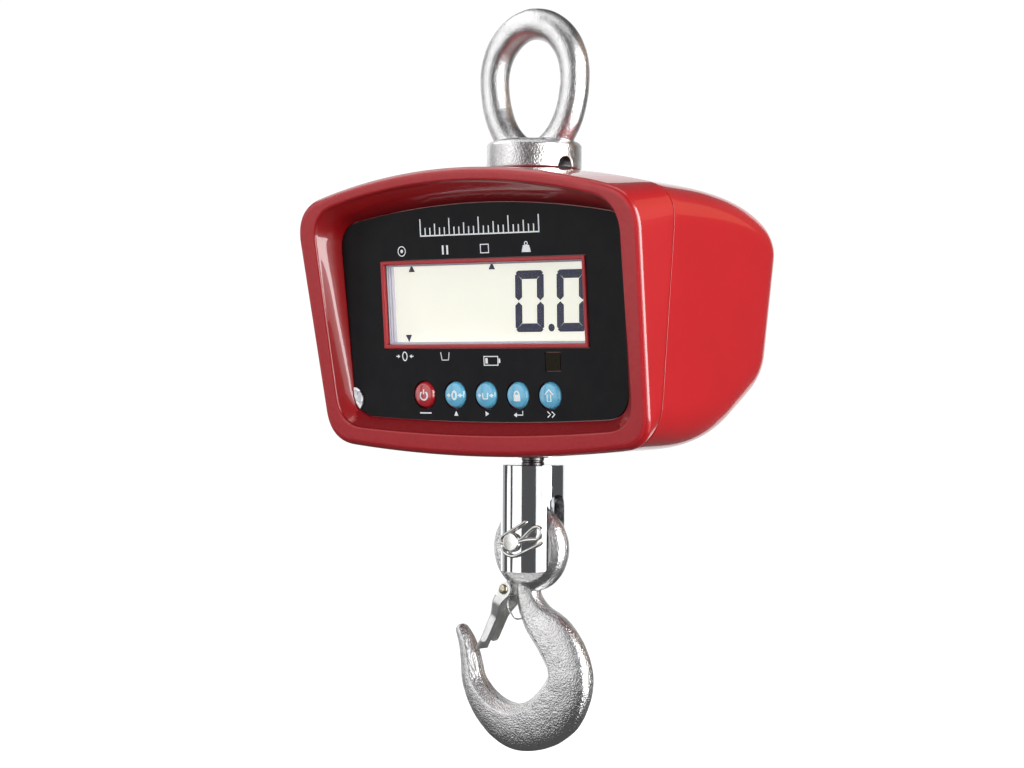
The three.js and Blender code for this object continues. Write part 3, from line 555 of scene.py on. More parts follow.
def outline(form):
    """A casing outline as (x, z) vectors: right half from the top down, then its mirror."""
    shoulder, hip = Vector(form["shoulder"]), Vector(form["hip"])
    top, bottom = form["top"], form["bottom"]
    first, second = form["rounds"]
    side = (hip - shoulder).normalized()
    arch_x, belly_x = shoulder.x - first, hip.x - second
    arch_curve, belly_curve = (top - shoulder.y) / shoulder.x ** 2, (hip.y - bottom) / hip.x ** 2
    arch_end = Vector((arch_x, top - arch_curve * arch_x ** 2))
    belly_end = Vector((belly_x, bottom + belly_curve * belly_x ** 2))
    upper = meeting(arch_end, Vector((1, -2 * arch_curve * arch_x)), shoulder, side)
    lower = meeting(belly_end, Vector((1, 2 * belly_curve * belly_x)), hip, side)
    side_start, side_end = shoulder + side * first, hip - side * second
    half = bend(Vector((0, top)), Vector((arch_x / 2, top)), arch_end, 20)
    half += bend(arch_end, upper, side_start, 14)
    half += bend(side_start, (side_start + side_end) / 2, side_end, 10)
    half += bend(side_end, lower, belly_end, 14)
    half += bend(belly_end, Vector((belly_x / 2, bottom)), Vector((0, bottom)), 20)
    half.append(Vector((0, bottom)))
    return half + [Vector((-p.x, p.y)) for p in reversed(half[1:-1])]


def inset(form, side, top=None, bottom=None):
    top = side if top is None else top
    bottom = side if bottom is None else bottom
    (sx, sz), (hx, hz) = form["shoulder"], form["hip"]
    return dict(
        top=form["top"] - top, bottom=form["bottom"] + bottom,
        shoulder=(sx - side, sz - top), hip=(hx - side, hz + bottom),
        rounds=tuple(max(r - side, 3) for r in form["rounds"]),
    )


def flat_ring(form, y):
    return [Vector((p.x, y, p.y)) for p in outline(form)]


def leaning_ring(form, plane, back):
    return [Vector((p.x, plane[0] + plane[1] * p.y + back, p.y)) for p in outline(form)]


PANEL_MATRIX = Matrix.Translation(
    (0, PANEL_PLANE[0] + PANEL_PLANE[1] * PANEL_REF_Z, PANEL_REF_Z)
) @ Matrix.Rotation(atan(-PANEL_PLANE[1]), 4, "X")


def on_panel(piece):
    """Moves a solid from the panel's own frame, whose y points inwards, to its place."""
    piece.data.transform(PANEL_MATRIX)
    return piece


def panel_block(half_width, half_height, x, z, near, far):
    return block((x - half_width, near, z - half_height), (x + half_width, far, z + half_height))


def level(z):
    """The panel's own height at a height of the frame."""
    return z - PANEL_REF_Z


def key_x(i):
    return (i - 2) * KEY_PITCH


def key_holes(far):
    return [rod(KEY_RADIUS + KEY_ROOM, (key_x(i), -3, KEY_Z), (key_x(i), far, KEY_Z))
            for i in range(len(KEY_NAMES))]


def display_frame(profile, half_x, half_z):
    """A rectangular frame round the display, from (inwards, depth) pairs."""
    corners = ((1, 1), (-1, 1), (-1, -1), (1, -1))
    return lofted([
        [Vector((sx * (half_x - inward), depth, LCD_Z + sz * (half_z - inward)))
         for sx, sz in corners] for inward, depth in profile
    ], loop=True)


def quarter(steps):
    return [pi / 2 * i / steps for i in range(steps + 1)]


# ---- casing
def bowed(foot, top, share):
    """A point of the recess wall, which bows out a little where it is deep."""
    deep = min((foot.y - top.y) / DEEPEST, 1)
    out = BOW * deep ** 2 * sin(pi * share ** 0.6)
    return foot.lerp(top, share) + Vector((0, -out, 0))


def front_casing():
    inner_round, outer_round, edge, lip_back = 1.3, 3.0, 0.4, 4.2
    rings = [leaning_ring(PANEL, PANEL_PLANE, SEAT)]
    wall_top = leaning_ring(LIP_INNER, LIP_PLANE, inner_round)
    foot = leaning_ring(inset(PANEL, -0.1), PANEL_PLANE, 0)
    for share in spaced(10, 1):
        rings.append([bowed(a, b, share) for a, b in zip(foot, wall_top)])
    for t in quarter(6):
        form = inset(LIP_INNER, -inner_round * (1 - cos(t)))
        rings.append(leaning_ring(form, LIP_PLANE, inner_round * (1 - sin(t))))
    for t in quarter(8):
        form = inset(LIP, outer_round * (1 - sin(t)))
        rings.append(leaning_ring(form, LIP_PLANE, outer_round * (1 - cos(t))))
    lip_edge = rings[-1]
    back_y = SEAM_Y - GAP
    seam_ring = flat_ring(SEAM, back_y - edge)
    for share in (0.2, 0.4, 0.6, 0.8, 1.0):
        rings.append([a.lerp(b, share) for a, b in zip(lip_edge, seam_ring)])
    rings.append(flat_ring(inset(SEAM, edge * 0.3), back_y - edge * 0.3))
    rings.append(flat_ring(inset(SEAM, edge), back_y))
    rings.append(flat_ring(inset(SEAM, WALL), back_y))
    rings.append(leaning_ring(inset(LIP, 3.4), LIP_PLANE, lip_back))
    rings.append(leaning_ring(inset(LIP_INNER, -2.4), LIP_PLANE, lip_back))
    rings.append(leaning_ring(inset(PANEL, -2.6), PANEL_PLANE, SEAT_BACK))
    shell = lofted(rings)
    opening = (LCD_HALF[0] - LCD_RIM, LCD_HALF[1] - LCD_RIM)
    cutters = [panel_block(*opening, 0, LCD_Z, -3, 7),
               panel_block(3.6, 3.6, IR["x"], IR["z"], -3, 7)] + key_holes(7)
    cut(shell, *(on_panel(cutter) for cutter in cutters))
    finish(shell, "front_shell", "red", "scale_body", ["front_casing"])
    for look in ("satin", "painted_shade"):
        shell.data.materials.append(LOOKS[look].material)
    lip_normal = Vector((0, -1, LIP_PLANE[1])).normalized()
    for face in shell.data.polygons:
        middle = face.center / MM
        depth = middle.y - LIP_PLANE[0] - LIP_PLANE[1] * middle.z
        # Faces of the recess's low wall, which get the darker red as painted shade.
        low_wall_in_painted_shade = -185 < middle.z < -160 and middle.y < SEAM_Y - 2 and face.normal.z > 0.42
        # The lip's front face takes the satin red: a duller finish, with painted light in its
        # lighter base.
        if depth < 0.9 and face.normal.dot(lip_normal) > 0.86:
            face.material_index = 1
        elif low_wall_in_painted_shade:
            face.material_index = 2


def window_rim():
    """The raised frame round the display, with rounded edges."""
    profile = [(0, SEAT), (0, -0.5), (0.3, -0.8), (1.5, -0.8), (LCD_RIM, -0.5),
               (LCD_RIM, SEAT_BACK)]
    rim = on_panel(bevel(display_frame(profile, *LCD_HALF), 0.15))
    # The rim takes the satin red too, whose lighter base is painted light.
    finish(rim, "window_rim", "satin", "scale_body", ["front_casing"], 25)


def rear_rings(wall, per_span):
    rings = []
    for y, top, belly, side in smooth_curve4(REAR_STATIONS, per_span):
        depth = min(max((y - 14) / (REAR_Y - 14), 0), 1)
        form = inset(SEAM, side + wall, top + wall, belly + wall)
        rings.append(flat_ring(form, y - wall * depth))
    return rings


def smooth_curve4(rows, per_span):
    """Catmull-Rom rows of four numbers, carried as two pairs."""
    firsts = smooth_curve([(a, b) for a, b, _, _ in rows], per_span)
    seconds = smooth_curve([(c, d) for _, _, c, d in rows], per_span)
    return [(*first, *second) for first, second in zip(firsts, seconds)]


def rear_casing():
    outer = rear_rings(0, 5)
    inner = rear_rings(WALL, 2)
    edge = 0.4
    start = [flat_ring(inset(SEAM, edge), SEAM_Y),
             flat_ring(inset(SEAM, edge * 0.3), SEAM_Y + edge * 0.3)]
    outer[0] = flat_ring(SEAM, SEAM_Y + edge)
    shell = lofted(inner[::-1] + start + outer)
    low, top, wide = -67, COLLAR_BOTTOM - 1.4, 22.4      # the round pad under the collar
    pad = turned([(0, low), (wide, low), (wide, top - 0.8), (22.1, top - 0.2), (21.6, top),
                  (0, top)])
    tunnels = [rod(5.2, (x, SEAM_Y + 1, z), (x, REAR_Y - 1, z)) for x, z in WELLS]
    boolean(shell, "UNION", pad, *tunnels)
    behind, floor = REAR_Y + 1, REAR_Y - 6
    x, z = SOCKET["x"], SOCKET["z"]
    cut(shell, *(rod(3.5, (x, -17.9, z), (x, behind, z)) for x, z in WELLS),
        rod(SHANK_RADIUS + 0.6, (0, 0, -72), (0, 0, -58)),
        rod(7.6, (0, 0, -197), (0, 0, -185)),
        panel_block(BAY["x"], BAY["z"], 0, BAY["middle"], floor, behind),
        rod(SOCKET["radius"] + 0.4, (x, floor, z), (x, behind, z)))
    finish(shell, "rear_shell", "red", "scale_body", ["rear_casing"])


def front_panel():
    """The black panel with its cut-outs."""
    edge, thick, rounding = 0.35, 0.6, 0.15
    rings = [leaning_ring(inset(PANEL, edge + rounding * (1 - sin(t))), PANEL_PLANE,
                          rounding * (1 - cos(t))) for t in quarter(3)]
    sheet = lofted(rings + [leaning_ring(inset(PANEL, edge), PANEL_PLANE, thick)])
    ir_half = IR["half"] + GAP
    cutters = [panel_block(LCD_HALF[0] + GAP, LCD_HALF[1] + GAP, 0, LCD_Z, -3, 3),
               panel_block(ir_half, ir_half, IR["x"], IR["z"], -3, 3)] + key_holes(3)
    cut(sheet, *(on_panel(cutter) for cutter in cutters))
    finish(sheet, "front_panel", "film", "scale_body", ["front_overlay"])


def calibration_seal():
    """A foil disc with a slightly crumpled face, cut by the panel's edge."""
    rise = [(SEAL["radius"], 0.1), (SEAL["radius"], 0.55), (5.5, 0.8), (4.6, 0.92), (3.4, 0.8),
            (1.8, 0.95), (0.4, 0.9)]
    rings = [[Vector((SEAL["x"] + r * cos(a), -h, SEAL["z"] + r * sin(a)))
              for a in spaced(64)] for r, h in rise]
    disc = on_panel(lofted(rings))
    for vertex in disc.data.vertices:
        vertex.co.y += 0.16 * noise.noise(vertex.co / 2.2)
    keep = lofted([leaning_ring(inset(PANEL, 0.3), PANEL_PLANE, back) for back in (-4, 2)])
    boolean(disc, "INTERSECT", keep)
    finish(disc, "seal_disc", "foil", "scale_body", ["calibration_seal"])


# ---- display
DIGIT_SLANT = tan(radians(2.5))
INK_THICK = 0.06


def flat_marks(shapes, name, look, depth):
    """Thin raised shapes, each a list of (x, height) on the panel, whose back is at `depth`."""
    marks = merged(*(prism(shape, depth - INK_THICK, depth) for shape in shapes))
    finish(on_panel(marks), name, look, "scale_body", (), 25)


def digit_segments(left, low, width, height, thick, gap):
    """The six lit segments of a nought on a seven-segment digit, with mitred ends."""
    right, high, middle = left + width, low + height, low + height / 2
    half = thick / 2

    def bar(y, sign):
        outer, inner = y, y - sign * thick
        return [(left + gap + half * 0.7, outer), (right - gap - half * 0.7, outer),
                (right - gap, outer - sign * half * 0.55),
                (right - thick + 0.1 - gap * 0.3, inner), (left + thick - 0.1 + gap * 0.3, inner),
                (left + gap, outer - sign * half * 0.55)]

    def post(x, sign, up):
        outer, inner = x, x - sign * thick
        end, start = (high, middle) if up else (low, middle)
        way = 1 if up else -1
        near = start + way * (half * 0.8 + gap)
        return [(outer, end - way * (half * 0.9 + gap)),
                (outer - sign * half * 0.5, end - way * (half * 0.55 + gap * 1.6)),
                (inner, end - way * (thick + gap)), (inner, near),
                (outer - sign * half, start + way * gap), (outer, near)]

    shapes = [bar(high, 1), bar(low, -1)]
    shapes += [post(x, sign, up) for x, sign in ((left, -1), (right, 1)) for up in (True, False)]
    return [[(x + (z - low) * DIGIT_SLANT, z) for x, z in shape] for shape in shapes]


def circle(x, z, radius, steps=28):
    return [(x + radius * cos(t), z + radius * sin(t)) for t in spaced(steps)]


def triangle(x, z, size, way=1):
    foot, tip = z - way * size * 0.9, z + way * size * 0.9
    return [(x - size, foot), (x + size, foot), (x, tip)]


def display():
    glass = bevel(panel_block(62, 21, 0, LCD_Z, LCD_DEPTH, LCD_DEPTH + 2.2), 0.15)
    finish(on_panel(glass), "display_glass", "lcd", "scale_body", ["lcd_panel"])
    base = level(-137)
    shapes = []
    for left in (13.5, 36.9):
        shapes += digit_segments(left, base, 16.2, 27.8, 3.9, 0.3)
    shapes.append(circle(33.9, base + 1.9, 1.75))
    shapes += [triangle(-46, level(-106.8), 1.9), triangle(1.5, level(-106.6), 1.9),
               triangle(-49.6, level(-139.4), 1.9, -1)]
    flat_marks(shapes, "display_digits", "segment", LCD_DEPTH - 0.02)
    x, z = LCD_HALF[0] - LCD_RIM - 0.1, LCD_HALF[1] - LCD_RIM - 0.1
    foot = LCD_DEPTH - 0.1
    lining = display_frame([(0, 1.3), (0, foot), (0.4, foot), (0.4, 4.6), (0.9, 4.3), (0.9, 3.9),
                            (0.4, 3.6), (0.3, 2.4), (0.8, 2.2), (0.3, 2.0), (0.3, 1.3)], x, z)
    finish(on_panel(lining), "window_lining", "lining", "scale_body",
                 ["lcd_holder"], 25)
    pane = bevel(panel_block(x - 0.1, z - 0.1, 0, LCD_Z, 0.3, 1.1), 0.15)
    finish(on_panel(pane), "display_pane", "pane", "scale_body",
                 ["display_window"])
    smoked = bevel(panel_block(IR["half"], IR["half"], IR["x"], IR["z"], 0, 0.6), 0.12)
    finish(on_panel(smoked), "ir_cover", "smoked", "scale_body",
                 ["ir_window"])


# ---- printed marks: plain symbols, no words
def stroke(points, width):
    """A band of constant width along a line, as one outline."""
    left, right = [], []
    for i, point in enumerate(points):
        before, after = neighbours(points, i)
        along = (Vector(after) - Vector(before)).normalized()
        side = Vector((-along.y, along.x)) * width / 2
        left.append(tuple(Vector(point) + side))
        right.append(tuple(Vector(point) - side))
    return left + right[::-1]


def arc(x, z, radius, start, end, width, steps=20, squash=1.0):
    angles = [radians(start + (end - start) * i / steps) for i in range(steps + 1)]
    return stroke([(x + radius * squash * cos(a), z + radius * sin(a)) for a in angles], width)


def arrow(x, z, length, way, width=0.55):
    """A short arrow along X, its tip at x."""
    tail = x - way * length
    return [stroke([(tail, z), (x - way * 0.9, z)], width),
            [(x, z), (x - way * 1.3, z + 0.85), (x - way * 1.3, z - 0.85)]]


def ring_mark(x, z, radius, width=0.45, squash=1.0):
    return [arc(x, z, radius, a, a + 181, width, 16, squash) for a in (0, 180)]


def box_mark(x, z, half_x, half_z, width=0.42):
    reach, signs = width / 2, (-1, 1)
    return [stroke([(x - half_x - reach, z + s * half_z), (x + half_x + reach, z + s * half_z)],
                   width) for s in signs] \
        + [stroke([(x + s * half_x, z - half_z), (x + s * half_x, z + half_z)], width)
           for s in signs]


def plate(left, right, low, high):
    return [(left, low), (right, low), (right, high), (left, high)]


KEY_ICONS = {
    "power": [arc(0, -0.2, 1.75, 125, 415, 0.6), stroke([(0, 0.4), (0, 2.3)], 0.6)],
    "zero": ring_mark(0, 0, 1.6, 0.7, 0.62) + arrow(-1.75, 0, 2.1, 1) + arrow(1.75, 0, 2.1, -1),
    "tare": [stroke([(-1.3, 1.1), (-1.0, -1.3), (1.0, -1.3), (1.3, 1.1)], 0.6)]
        + arrow(-1.95, 0, 1.9, 1) + arrow(1.95, 0, 1.9, -1),
    "hold": [plate(-1.55, 1.55, -2.1, 0.4), arc(0, 0.75, 1.0, 0, 180, 0.6),
             stroke([(-1.0, 0.3), (-1.0, 0.85)], 0.6), stroke([(1.0, 0.3), (1.0, 0.85)], 0.6)],
    "second": [stroke([(0, 2.5), (-1.95, 0.55), (-0.85, 0.55), (-0.85, -2.1), (0.85, -2.1),
                       (0.85, 0.55), (1.95, 0.55), (0, 2.5)], 0.45)],
}


def dome(radius):
    """How far the key's face stands in front of the panel at a distance from the key's middle."""
    return 1.8 - 0.03 * radius ** 2


def cap_profile(lift):
    """The cap's outline above the panel, raised by a little."""
    face, edge = 5.1, -dome(5.1) - lift
    return [(r, -dome(r) - lift) for r in (0, 1, 2, 3, 4, 4.6, face)] \
        + [(face + 0.16, edge + 0.1), (face + 0.28, edge + 0.28), (face + 0.95, edge + 1.5),
           (KEY_RADIUS, 1.0)]


def key(i, name):
    middle = (key_x(i), 0, KEY_Z)
    flange, sides, grow = KEY_RADIUS + 1.1, 72, 1.15
    profile = cap_profile(0) + [(KEY_RADIUS, 3.6), (flange, 3.6), (flange, 4.6), (2, 4.6), (2, 5),
                                (0, 5)]
    color = "red_key" if name == "power" else "blue_key"
    cap = on_panel(turned(profile, sides, "Y", middle))
    finish(cap, f"key_cap_{name}", color, f"key_{name}", [f"button_{name}"], 40)
    icons = merged(*(prism([(x * grow, z * grow) for x, z in shape], -4, -0.6)
                     for shape in KEY_ICONS[name]))
    icons.data.transform(Matrix.Translation(Vector(middle) + Vector((0.6, 0, 0))))
    raised = cap_profile(0.04) + [(KEY_RADIUS, 2), (0, 2)]
    boolean(icons, "INTERSECT", turned(raised, sides, "Y", middle))
    finish(on_panel(icons), f"key_icon_{name}", "ink_painted_glow", f"key_{name}", (), 25)


def panel_marks():
    """Plain symbols where the panel has its legends, and graduation marks along the top."""
    line = 0.42
    ruler, top, low, under = level(-91.6), level(-98.6), level(-147.3), level(-173.6)
    shapes = []
    marks, pitch = 24, 2.85
    for i in range(marks + 1):
        x = (i - marks / 2) * pitch
        tall = 7.5 if i % 6 == 0 else 5.2 if i % 3 == 0 else 3.4
        shapes.append(stroke([(x, ruler), (x, ruler + tall)], 0.6))
    end, foot = marks / 2 * pitch + 0.3, level(-91.9)
    shapes.append(stroke([(-end, foot), (end, foot)], 0.6))
    # above the display: ring, pause bars, square and weight
    shapes += ring_mark(-46, top, 2.2, line) + [circle(-46, top, 0.8, 16)]
    shapes += [stroke([(x, top - 2.1), (x, top + 2.1)], 1.0) for x in (-21.4, -18.8)]
    shapes += box_mark(2.9, top, 2.3, 1.9, line)
    shapes += [[(24.0, top - 2.2), (29.2, top - 2.2), (28.3, top + 0.9), (24.9, top + 0.9)]]
    shapes += ring_mark(26.6, top + 1.7, 0.8, 0.4)
    # below it: nought between arrows, pan and battery
    shapes += ring_mark(-47.2, low, 2.0, 0.5, 0.66)
    shapes += arrow(-50, low, 2.4, 1, line) + arrow(-44.4, low, 2.4, -1, line)
    shapes += [stroke([(-25.6, low + 1.8), (-25, low - 1.8), (-21.2, low - 1.8),
                       (-20.6, low + 1.8)], line)]
    shapes += box_mark(3.6, low - 2.2, 4.0, 2.0, line)
    shapes += [plate(8, 8.9, low - 3.2, low - 1.2), plate(0.4, 1.7, low - 3.4, low - 1)]
    # under the keys: dash, two triangles, return arrow and double chevron
    shapes += [stroke([(-39.6, under), (-32.8, under)], 0.6), triangle(-18.1, under, 1.2)]
    shapes += [[(-0.9, under - 1.2), (1.1, under), (-0.9, under + 1.2)]]
    shapes += [stroke([(20.4, under + 1.5), (20.4, under - 0.4), (16.6, under - 0.4)], 0.5),
               [(15.2, under - 0.4), (17, under + 0.7), (17, under - 1.5)]]
    shapes += [stroke([(x - 0.9, under + 1.3), (x + 0.7, under), (x - 0.9, under - 1.3)], 0.55)
               for x in (35.3, 37.7)]
    flat_marks(shapes, "panel_marks", "ink_painted_glow", -0.01)


# ---- lifting eye
def lifting_eye():
    rings = []
    for angle in spaced(120):
        c, s = cos(angle), sin(angle)
        bar = EYE_BAR + EYE_CROWN_EXTRA * max(s, 0)
        tall = EYE_BAR + EYE_CROWN_EXTRA - EYE_WIDEST_Z if s > 0 else EYE_WIDEST_Z - EYE_FOOT_Z
        centre = Vector((EYE_HALF_WIDTH * c, 0, EYE_WIDEST_Z + tall * s))
        outwards = Vector((c * tall, 0, s * EYE_HALF_WIDTH)).normalized()
        rings.append(circle_ring(centre, outwards, Vector((0, 1, 0)), bar, 40))
    collar, shank, top = COLLAR_RADIUS, SHANK_RADIUS, COLLAR_TOP
    bottom, end = COLLAR_BOTTOM - 1.0, place("lifting_eye")[0].z
    foot = turned([
        (0, end), (shank - 1, end), (shank, end + 1), (shank, bottom), (collar - 0.5, bottom),
        (collar, bottom + 0.5), (collar, top), (collar - 1.6, top + 1.6), (17, top + 2.6),
        (0, top + 3),
    ])
    turn = Matrix.Rotation(radians(-11), 4, "Z")
    cut(foot, *(rod(NOTCH_RADIUS - 0.8, turn @ Vector((side * 14, 0, COLLAR_BOTTOM)),
                    turn @ Vector((side * 24, 0, COLLAR_BOTTOM))) for side in (-1, 1)))
    eye = roughen(fused(merged(lofted(rings, loop=True), foot), 5), 7, 0.16)
    finish(eye, "forged_eye", "forged", "scale_body", ["lifting_eye"], 80)


# ---- stud, clevis, pin and clip
def stud():
    low, high = place("swivel_bolt")
    head_top, r = CLEVIS["seat"] - 2.1, STUD_RADIUS
    profile = [(0, low.z), (8.4, low.z), (9.4, low.z + 1), (9.4, head_top), (r, head_top),
               (r, -196.4), (r - 0.35, -196.0), (r - 0.35, -195.6), (r, -195.2),
               (r, high.z - 1), (r - 1, high.z), (0, high.z)]
    finish(turned(profile), "swivel_stud", "dark_steel", "scale_body",
                 ["swivel_bolt"])


def clevis():
    c = CLEVIS
    r, top, bottom, edge = c["radius"], c["top"], c["bottom"], 0.5
    body = turned([(0, bottom), (r, bottom), (r, top - edge), (r - edge * 0.3, top - edge * 0.3),
                   (r - edge, top), (0, top)], 160)
    corner, side, reach = c["corner"], r + 1, r + 2
    lower = [(side - corner + corner * sin(t), bottom + corner - corner * cos(t))
             for t in quarter(10)]
    cheek = [(-side, top + 1), (side, top + 1)] + lower[::-1] + [(-x, z) for x, z in lower]
    boolean(body, "INTERSECT", prism(cheek, -reach, reach))
    slot, arch = c["slot"], c["arch"]
    crown = [(slot * cos(t), arch - slot + slot * sin(t))
             for t in spaced(24, pi) + [pi]]
    through = prism([(slot, bottom - 2)] + crown + [(-slot, bottom - 2)], -reach, reach)
    through.data.transform(Matrix.Rotation(pi / 2, 4, "Z"))
    cut(body, through)
    cut(body, rod(c["bore"], (0, 0, bottom - 2), (0, 0, c["seat"]), 64))
    cut(body, rod(STUD_RADIUS + 0.35, (0, 0, c["seat"] - 1), (0, 0, top + 1)),
        rod(PIN["radius"] + GAP, (0, -reach, PIN["z"]), (0, reach, PIN["z"])))
    bevel(body, 0.35, 35)
    finish(body, "clevis_body", "chrome", "swivel", ["clevis"], 30)


def clevis_pin():
    r, front, back, rest = PIN["radius"], PIN["front"] + 0.9, PIN["back"], CLEVIS["radius"] + 0.5
    end, head = r + 0.45, 6.4
    profile = [(0, front), (end - 1.0, front), (end - 0.35, front + 0.15), (end, front + 0.6),
               (end, front + 1.9), (r, front + 2), (r, rest), (head, rest), (head, back - 0.8),
               (6.1, back - 0.2), (5.6, back), (0, back)]
    pin = turned(profile, 64, "Y", (0, 0, PIN["z"]))
    finish(pin, "pin_body", "zinc", "swivel", ["clevis_pin"])


def split_pin():
    """A bent wire: an eye to the right of the pin, and two legs turned back round its end."""
    y, z, wire = PIN["clip"] + 0.3, PIN["z"], 0.8
    eye = [(2, 0.2), (6.2, 2.1), (10, 5.2), (13.6, 7.5), (16.6, 7.2), (17.3, 4.6), (15.4, 2.2),
           (11.5, 1.6), (7.6, 1.1), (2, -0.5)]
    upper = [(-3.6, -0.6), (-5.3, -0.4), (-5.9, 0.9), (-5.2, 2.4), (-2.6, 4.0), (2.8, 6.8),
             (8.1, 9.7)]
    lower = [(-3.6, -1.6), (-5.0, -2.6), (-4.7, -4.2), (-3.3, -5.4), (-0.6, -6.3), (2.4, -6.1),
             (7, -4.3), (12.6, -1.8), (17.9, 0.5)]
    parts = [tube([(a, y + lift, z + b) for a, b in route], wire)
             for route, lift in ((eye, 0), (upper, -0.2), (lower, 0.2))]
    finish(merged(*parts), "split_pin", "zinc", "swivel", ["hairpin_clip"])


# ---- hook
def hook_ring(centre, side, width, thick):
    """A forged section: a broad bevel inside the bowl, then sides that curve to the back."""
    w, h = width / 2, thick / 2
    bevel_in = min(4.2, 0.34 * width)
    start = -w + bevel_in
    half = [(-w, 0), (-w, 0.2 * h), (-w, 0.4 * h), (-w + bevel_in * 0.33, 0.6 * h),
            (-w + bevel_in * 0.66, 0.8 * h), (start, h)]
    for t in quarter(12)[1:]:
        half.append((start + (w - start) * sin(t), h * cos(t) ** 0.62 if t < 1.57 else 0))
    section = half + [(u, -v) for u, v in reversed(half[1:-1])]
    return [centre + side * u + Vector((0, v, 0)) for u, v in section]


def hook():
    stations = smooth_curve4(HOOK_STATIONS, 9)
    rings = []
    for j, (x, z, width, thick) in enumerate(stations):
        before, after = neighbours(stations, j)
        along = Vector((after[0] - before[0], 0, after[1] - before[1])).normalized()
        side = Vector((-along.z, 0, along.x))
        rings.append(hook_ring(Vector((x, 0, z)), side, width, thick))
    tip = Vector((stations[-1][0], 0, stations[-1][1]))
    for grow, ahead in ((0.8, 1.0), (0.45, 1.8)):
        push = Vector((-0.55, 0, 0.84)) * ahead
        rings.append([tip + (p - tip) * grow + push for p in rings[len(stations) - 1]])
    x, z, half, outer = (HOOK_EYE[key] for key in ("x", "z", "half", "outer"))
    inner = HOOK_EYE["inner"] - 1.6
    shoulder = [(outer - 4.4, half), (outer - 1.2, half - 2.0), (outer, half - 4.4)]
    profile = [(inner, -half)] + [(r, -y) for r, y in shoulder] + shoulder[::-1]
    eye = turned(profile + [(inner, half), (inner, -half)], 96, "Y", (x, 0, z))
    lug_y, px, pz = LATCH["lug"], LATCH_PIVOT.x, LATCH_PIVOT.z
    lug = rod(LATCH["ear"] - 0.6, (px, -lug_y, pz), (px, lug_y, pz))
    neck = block((px, -lug_y, pz - 3.2), (-4, lug_y, pz + 3.4))
    body = fused(merged(lofted(rings), eye, lug, neck), 4)
    cut(body, rod(HOOK_EYE["inner"], (x, -9, z), (x, 9, z), 64))
    roughen(body, 6, 0.14)
    finish(body, "forged_hook", "hook", "hook_body", ["hook"], 60)


# ---- latch
def between(value, *pairs):
    """Straight lines through (input, output) pairs, the inputs rising."""
    for (a, fa), (b, fb) in zip(pairs, pairs[1:]):
        if value <= b:
            share = min(max((value - a) / (b - a), 0), 1)
            return fa + (fb - fa) * share
    return pairs[-1][1]


def latch():
    """A folded sheet: a web on the outside, a flange on each side, and round ears on the pivot."""
    sheet, ear, length = LATCH["sheet"], LATCH["ear"], LATCH["length"]
    web_x = -LATCH["web"] + sheet / 2
    wide, narrow = LATCH["ear_in"] + sheet / 2, LATCH["tail_out"] - sheet / 2
    radius, ear_foot = ear - 0.1, -1.4
    rows = [-length + 0.9 * i for i in range(int((length + 1) / 0.9))]
    rows = [z for z in rows if z < ear_foot]
    rows += [-radius * cos(pi / 2 + radians(-18 + 9 * k)) for k in range(12)]
    rows = [z for z in rows if z < radius * 0.995]
    flange_cols, web_cols = 5, 8
    grid = []
    for z in rows:
        y = between(z, (-15, narrow), (-8, wide))
        if z > ear_foot:
            reach = sqrt(max(radius ** 2 - z ** 2, 0.01))
            back, front = -min(reach, -web_x), reach
        else:
            back = web_x
            front = between(z, (-30.2, web_x + 1.0), (-29.4, -0.9), (-28.2, 0.1), (-26, 0.3),
                            (-12, 0.6), (-6, 1.6), (ear_foot, 3.7))
        corner = min(1.0, (front - back) * 0.4)
        flange, web = range(flange_cols + 1), range(web_cols + 1)
        line = [(front + (back + corner - front) * k / flange_cols, -y) for k in flange]
        line += [(back + corner * 0.3, -y + corner * 0.3)]
        line += [(back, -y + corner + (2 * y - 2 * corner) * k / web_cols) for k in web]
        line += [(back + corner * 0.3, y - corner * 0.3)]
        line += [(back + corner + (front - back - corner) * k / flange_cols, y) for k in flange]
        grid.append([Vector((x, yy, z)) for x, yy in line])
    columns = len(grid[0])
    points = [p for line in grid for p in line]
    faces = []
    for j in range(len(grid) - 1):
        for i in range(columns - 1):
            is_web = flange_cols <= i < columns - 1 - flange_cols
            if rows[j + 1] > -4.6 if is_web else rows[j] < -30.3:
                continue
            here, above = j * columns + i, (j + 1) * columns + i
            faces.append((here, here + 1, above + 1, above))
    body = as_object(points, faces)
    loose = bmesh.new()
    loose.from_mesh(body.data)
    bmesh.ops.delete(loose, geom=[v for v in loose.verts if not v.link_faces], context="VERTS")
    loose.to_mesh(body.data)
    loose.free()
    thick = body.modifiers.new("thick", "SOLIDIFY")
    thick.thickness = sheet
    thick.offset = 0
    apply_modifiers(body)
    bevel(body, 0.22, 50)
    body.data.transform(Matrix.Translation(LATCH_PIVOT) @ Matrix.Rotation(LATCH_LEAN, 4, "Y"))
    finish(body, "latch_sheet", "latch", "latch", ["safety_latch"], 40)


def latch_pin():
    end = LATCH["ear_in"] + LATCH["sheet"] + GAP + 0.9
    grip, pin, head = end - 0.9, LATCH["pin"], 2.4
    half = [(pin, grip), (head, grip), (head - 0.2, end - 0.5), (head - 0.8, end - 0.1),
            (0.9, end + 0.05), (0, end)]
    rivet = turned([(r, -y) for r, y in reversed(half)] + half, 40, "Y", LATCH_PIVOT)
    for vertex in rivet.data.vertices:
        vertex.co += Vector((0.15, 0.22, 0.15)) * noise.noise(vertex.co / 0.9)
    finish(rivet, "latch_rivet", "bronze", "hook_body", ["latch_pin"], 50)


